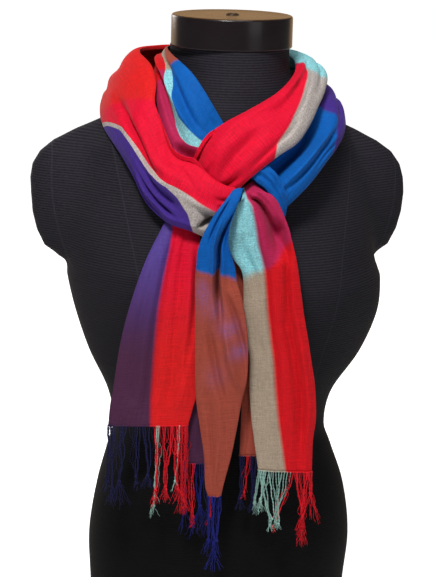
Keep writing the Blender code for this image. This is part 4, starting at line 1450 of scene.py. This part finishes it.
def make_cloth_material():
    """Light woven cloth: yarn-dyed plaid, slubbed threads, a soft sheen, and spots of painted sheen
    and painted shade.
    """
    tree, shader = new_material("woven_cloth")
    weave = add_group(tree, "woven_threads")
    tree.links.new(uv_map(tree, "threads"), weave.inputs["Vector"])
    marks = split(tree, uv_map(tree, "stripes"))
    ragged = maths(tree, "MULTIPLY_ADD", weave.outputs["Tone"], 2 * RAGGED_EDGE, -RAGGED_EDGE)
    plaid = add_group(tree, "plaid")
    tree.links.new(maths(tree, "ADD", marks["X"], ragged), plaid.inputs["Stripe"])
    tree.links.new(maths(tree, "MULTIPLY_ADD", ragged, 1.5, marks["Y"]), plaid.inputs["Weft"])
    worn = scaled(tree, plaid.outputs["Color"], thread_tone(tree, weave, marks["X"], marks["Y"]))
    crossing = mix_colours(tree, 1.0, worn, CROSSING_TINT, "MULTIPLY")
    share = maths(tree, "MULTIPLY", weave.outputs["Dashes"], CROSSING_SHARE)
    colour = mix_colours(tree, share, worn, crossing)
    # Painted sheen and shade: blue-violet mixed into the colour at the spots of their table.
    colour = mix_colours(tree, painted_sheen_and_shade_share(tree, weave), colour, (*screen(PAINTED_SHEEN_AND_SHADE_COLOUR), 1))
    tree.links.new(colour, shader.inputs["Base Color"])
    set_roughness(tree, shader, weave.outputs["Over"], least=0.7, spread=0.1)
    shader.inputs["Specular IOR Level"].default_value = 0.14
    shader.inputs["Sheen Weight"].default_value = 0.05
    shader.inputs["Sheen Roughness"].default_value = 0.4
    set_relief(tree, shader, weave.outputs["Height"], strength=0.35, depth=THREAD_RELIEF)


def make_yarn_material():
    """Twisted yarn in the colour of the stripe that it comes from."""
    tree, shader = new_material("fringe_yarn")
    marks = split(tree, uv_map(tree, "stripes"))
    colour = stripe_ramp(tree, marks["X"], YARN_COLOURS, YARN_BLUR)
    fuzz = cloudy(tree, object_place(tree), 900.0, 3.0)
    tone = maths(tree, "MULTIPLY_ADD", fuzz, 1.0, 0.2)
    tone = maths(tree, "MULTIPLY_ADD", marks["Y"], 0.6, tone)
    tree.links.new(scaled(tree, colour, tone), shader.inputs["Base Color"])
    set_roughness(tree, shader, fuzz, least=0.65, spread=0.2)
    shader.inputs["Specular IOR Level"].default_value = 0.25
    set_relief(tree, shader, fuzz, strength=0.6, depth=YARN_RELIEF)


def seam_line(tree, part, seam):
    """A mask along a seam of the cover that runs up both sides at nearly the same reach."""
    rise = maths(tree, "SUBTRACT", part["Z"], seam["height"] * MM)
    reach = maths(tree, "MULTIPLY_ADD", rise, seam["slope"], seam["reach"] * MM)
    curve = maths(tree, "MULTIPLY", maths(tree, "MULTIPLY", rise, rise), seam["curve"] / MM)
    away = maths(tree, "ABSOLUTE", part["X"])
    away = maths(tree, "SUBTRACT", away, maths(tree, "SUBTRACT", reach, curve))
    line = ranged(tree, maths(tree, "ABSOLUTE", away), 0.0, seam["width"] * MM, 1.0, 0.0)
    over = maths(tree, "GREATER_THAN", part["Z"], seam["lowest"] * MM)
    front = maths(tree, "LESS_THAN", part["Y"], seam["farthest"] * MM)
    return maths(tree, "MULTIPLY", maths(tree, "MULTIPLY", line, over), front)


def cover_relief(tree, place, part, fuzz):
    """The cover's ribs, fuzz and seams as one height."""
    turns = maths(tree, "MULTIPLY", part["Z"], 2 * math.pi / (RIB_PITCH * MM))
    rib = maths(tree, "MULTIPLY_ADD", maths(tree, "SINE", turns), 0.5, 0.5)
    mixed = maths(tree, "MULTIPLY_ADD", rib, 0.45, maths(tree, "MULTIPLY", fuzz, 0.55))
    mixed = maths(tree, "MULTIPLY_ADD", cloudy(tree, place, 9.0, 2.0), 0.25, mixed)
    welts = 0.0
    for seam in SEAMS:
        welt = seam_line(tree, part, dict(zip(SEAM_COLUMNS, seam)))
        welts = maths(tree, "MAXIMUM", welts, welt)
    return maths(tree, "MULTIPLY_ADD", welts, 0.5, mixed)


def make_cover_material():
    """The form's black stretch cover, with fine ribs all round it, and painted shade that darkens it
    towards its foot.
    """
    tree, shader = new_material("ribbed_cover")
    place = object_place(tree)
    part = split(tree, place)
    fuzz = cloudy(tree, place, 420.0, 3.0)
    relief = cover_relief(tree, place, part, fuzz)
    colour = two_colours(tree, relief, screen((15, 14, 17)), screen((46, 44, 52)), 0.2, 0.95)
    # Painted shade: the colour is scaled darker towards the foot, where less light falls.
    foot_painted_shade = ranged(tree, part["Z"], *COVER_PAINTED_SHADE)
    tree.links.new(scaled(tree, colour, foot_painted_shade), shader.inputs["Base Color"])
    set_roughness(tree, shader, fuzz, least=0.72, spread=0.15)
    shader.inputs["Specular IOR Level"].default_value = 0.14
    set_relief(tree, shader, relief, strength=0.5, depth=RIB_RELIEF)


def make_cap_material():
    """Glossy black moulded plastic with faint scuffs, and a painted reflection: its top face painted
    warm brown.
    """
    tree, shader = new_material("glossy_cap")
    place = object_place(tree)
    cloud = cloudy(tree, place, 30.0, 5.0)
    black = two_colours(tree, cloud, screen((18, 13, 15)), screen((29, 21, 23)))
    # Painted reflection: the top face is painted warm brown, standing in for a warm reflection on the
    # glossy black.
    top_face = ranged(tree, split(tree, place)["Z"], CAP_TOP - 0.9 * MM, CAP_TOP - 0.3 * MM)
    brown = mix_colours(tree, cloud, (*screen((64, 42, 18)), 1), (*screen((92, 62, 28)), 1))
    tree.links.new(mix_colours(tree, top_face, black, brown), shader.inputs["Base Color"])
    set_roughness(tree, shader, cloud, least=0.2, spread=0.12)
    shader.inputs["Specular IOR Level"].default_value = 0.32
    shader.inputs["Coat Weight"].default_value = 0.12
    shader.inputs["Coat Roughness"].default_value = 0.15


def make_screw_material():
    """The screw's dull dark steel."""
    tree, shader = new_material("screw_steel")
    grain = cloudy(tree, object_place(tree), 500.0, 3.0)
    colour = two_colours(tree, grain, screen((46, 34, 24)), screen((78, 60, 42)))
    tree.links.new(colour, shader.inputs["Base Color"])
    set_roughness(tree, shader, grain, least=0.35, spread=0.2)
    shader.inputs["Metallic"].default_value = 0.6


def make_floor_material():
    """A plain pale floor, which the camera sees as evenly bright."""
    tree, shader = new_material("pale_floor")
    cloud = cloudy(tree, object_place(tree), 3.0, 2.0)
    colour = two_colours(tree, cloud, (0.90, 0.90, 0.90), (0.94, 0.94, 0.94))
    tree.links.new(colour, shader.inputs["Base Color"])
    shader.inputs["Roughness"].default_value = 0.9
    shader.inputs["Specular IOR Level"].default_value = 0.1
    shader.inputs["Emission Color"].default_value = (0.92, 0.92, 0.92, 1)
    path = tree.nodes.new("ShaderNodeLightPath")
    tree.links.new(path.outputs["Is Camera Ray"], shader.inputs["Emission Strength"])


def make_materials():
    """Makes the shared node groups, then every material."""
    make_plaid_group()
    make_weave_group()
    make_cloth_material()
    make_yarn_material()
    make_cover_material()
    make_cap_material()
    make_screw_material()
    make_floor_material()


# Studio


def add_camera():
    """The camera at the photograph's eye, 10 degrees round from straight ahead."""
    rise = EYE_HEIGHT - AIM_HEIGHT
    tilt = math.atan2(rise, EYE_DISTANCE)
    data = bpy.data.cameras.new("camera")
    data.sensor_fit = "VERTICAL"
    data.sensor_height = 36
    data.lens = 36 * math.hypot(EYE_DISTANCE, rise) / SHEET_HEIGHT
    data.clip_start = 0.05
    camera = bpy.data.objects.new("camera", data)
    bpy.context.scene.collection.objects.link(camera)
    eye = Vector((SHEET_WIDTH / 2 - AXIS_RIGHT, -EYE_DISTANCE, EYE_HEIGHT)) * MM
    turn = Matrix.Rotation(VIEW_TURN, 4, "Z")
    tip = Matrix.Rotation(math.pi / 2 - tilt, 4, "X")
    roll = Matrix.Rotation(VIEW_ROLL, 4, "Z")
    camera.matrix_world = turn @ Matrix.Translation(eye) @ tip @ roll
    bpy.context.scene.camera = camera


LIGHT_COLUMNS = ("azimuth", "elevation", "distance", "size", "power", "colour")
LIGHTS = {
    "key_light": (-24, 50, 2.2, 0.4, 44, (1.0, 0.98, 0.97)),
    "fill_light": (34, 12, 2.4, 1.0, 3.6, (0.96, 0.98, 1.0)),
    "top_light": (30, 74, 2.0, 0.6, 9, (1.0, 1.0, 1.0)),
    "warm_card": (170, 16, 2.2, 1.4, 3, (1.0, 0.55, 0.18)),
    "back_fill": (205, 12, 2.6, 1.0, 11, (0.98, 0.98, 1.0)),
    "left_card": (-154, 0, 2.0, 1.3, 3.2, (1.0, 0.58, 0.24)),
    "right_card": (142, 0, 2.0, 0.9, 1.6, (1.0, 0.58, 0.24)),
}
# The height in metres that the lights are aimed at, and the world's own light.
LIGHT_AIM = 0.42
WORLD_STRENGTH = 0.115
FLOOR_REACH = 30.0


def add_lights():
    """Soft area lights round the form, all aimed at its chest."""
    aim = Vector((0, 0, LIGHT_AIM))
    for name, values in LIGHTS.items():
        light = dict(zip(LIGHT_COLUMNS, values))
        azimuth, elevation = math.radians(light["azimuth"]), math.radians(light["elevation"])
        data = bpy.data.lights.new(name, "AREA")
        data.shape = "SQUARE"
        data.size = light["size"]
        data.energy = light["power"]
        data.color = light["colour"]
        lamp = bpy.data.objects.new(name, data)
        level = math.cos(elevation)
        way = Vector((math.sin(azimuth) * level, -math.cos(azimuth) * level, math.sin(elevation)))
        lamp.location = aim + way * light["distance"]
        lamp.rotation_euler = way.to_track_quat("Z", "Y").to_euler()
        bpy.context.scene.collection.objects.link(lamp)


def add_world():
    """An even, faint light from all round."""
    world = bpy.data.worlds.new("studio")
    world.use_nodes = True
    back = world.node_tree.nodes["Background"]
    back.inputs["Color"].default_value = (0.97, 0.98, 1.0, 1)
    back.inputs["Strength"].default_value = WORLD_STRENGTH
    bpy.context.scene.world = world
    bpy.context.scene.view_settings.view_transform = "Standard"


def add_floor():
    """A plain wide floor."""
    signs = ((-1, -1), (1, -1), (1, 1), (-1, 1))
    corners = [Vector((x * FLOOR_REACH, y * FLOOR_REACH, 0)) for x, y in signs]
    floor = new_mesh("floor", corners, [(0, 1, 2, 3)])
    floor.data.materials.append(bpy.data.materials["pale_floor"])


def main():
    """Builds the camera, every piece in its order, and the studio."""
    noise.seed_set(NOISE_SEED)
    add_camera()
    make_materials()
    laid = {"form_torso": add_form()}
    add_cap()
    add_screw()
    for name, row in STRETCHES.items():
        stretch = dict(zip(STRETCH_COLUMNS, row))
        below = [laid[under] for under in stretch["lies_on"]]
        cloth, grid, flat = add_cloth(name, stretch, below)
        fringe = [add_fringe(name, grid[-1])] if name.startswith("tail") else []
        print("flat size of", name, [round(v, 3) for v in flat])
        laid[name] = cloth
    add_lights()
    add_world()
    add_floor()


main()
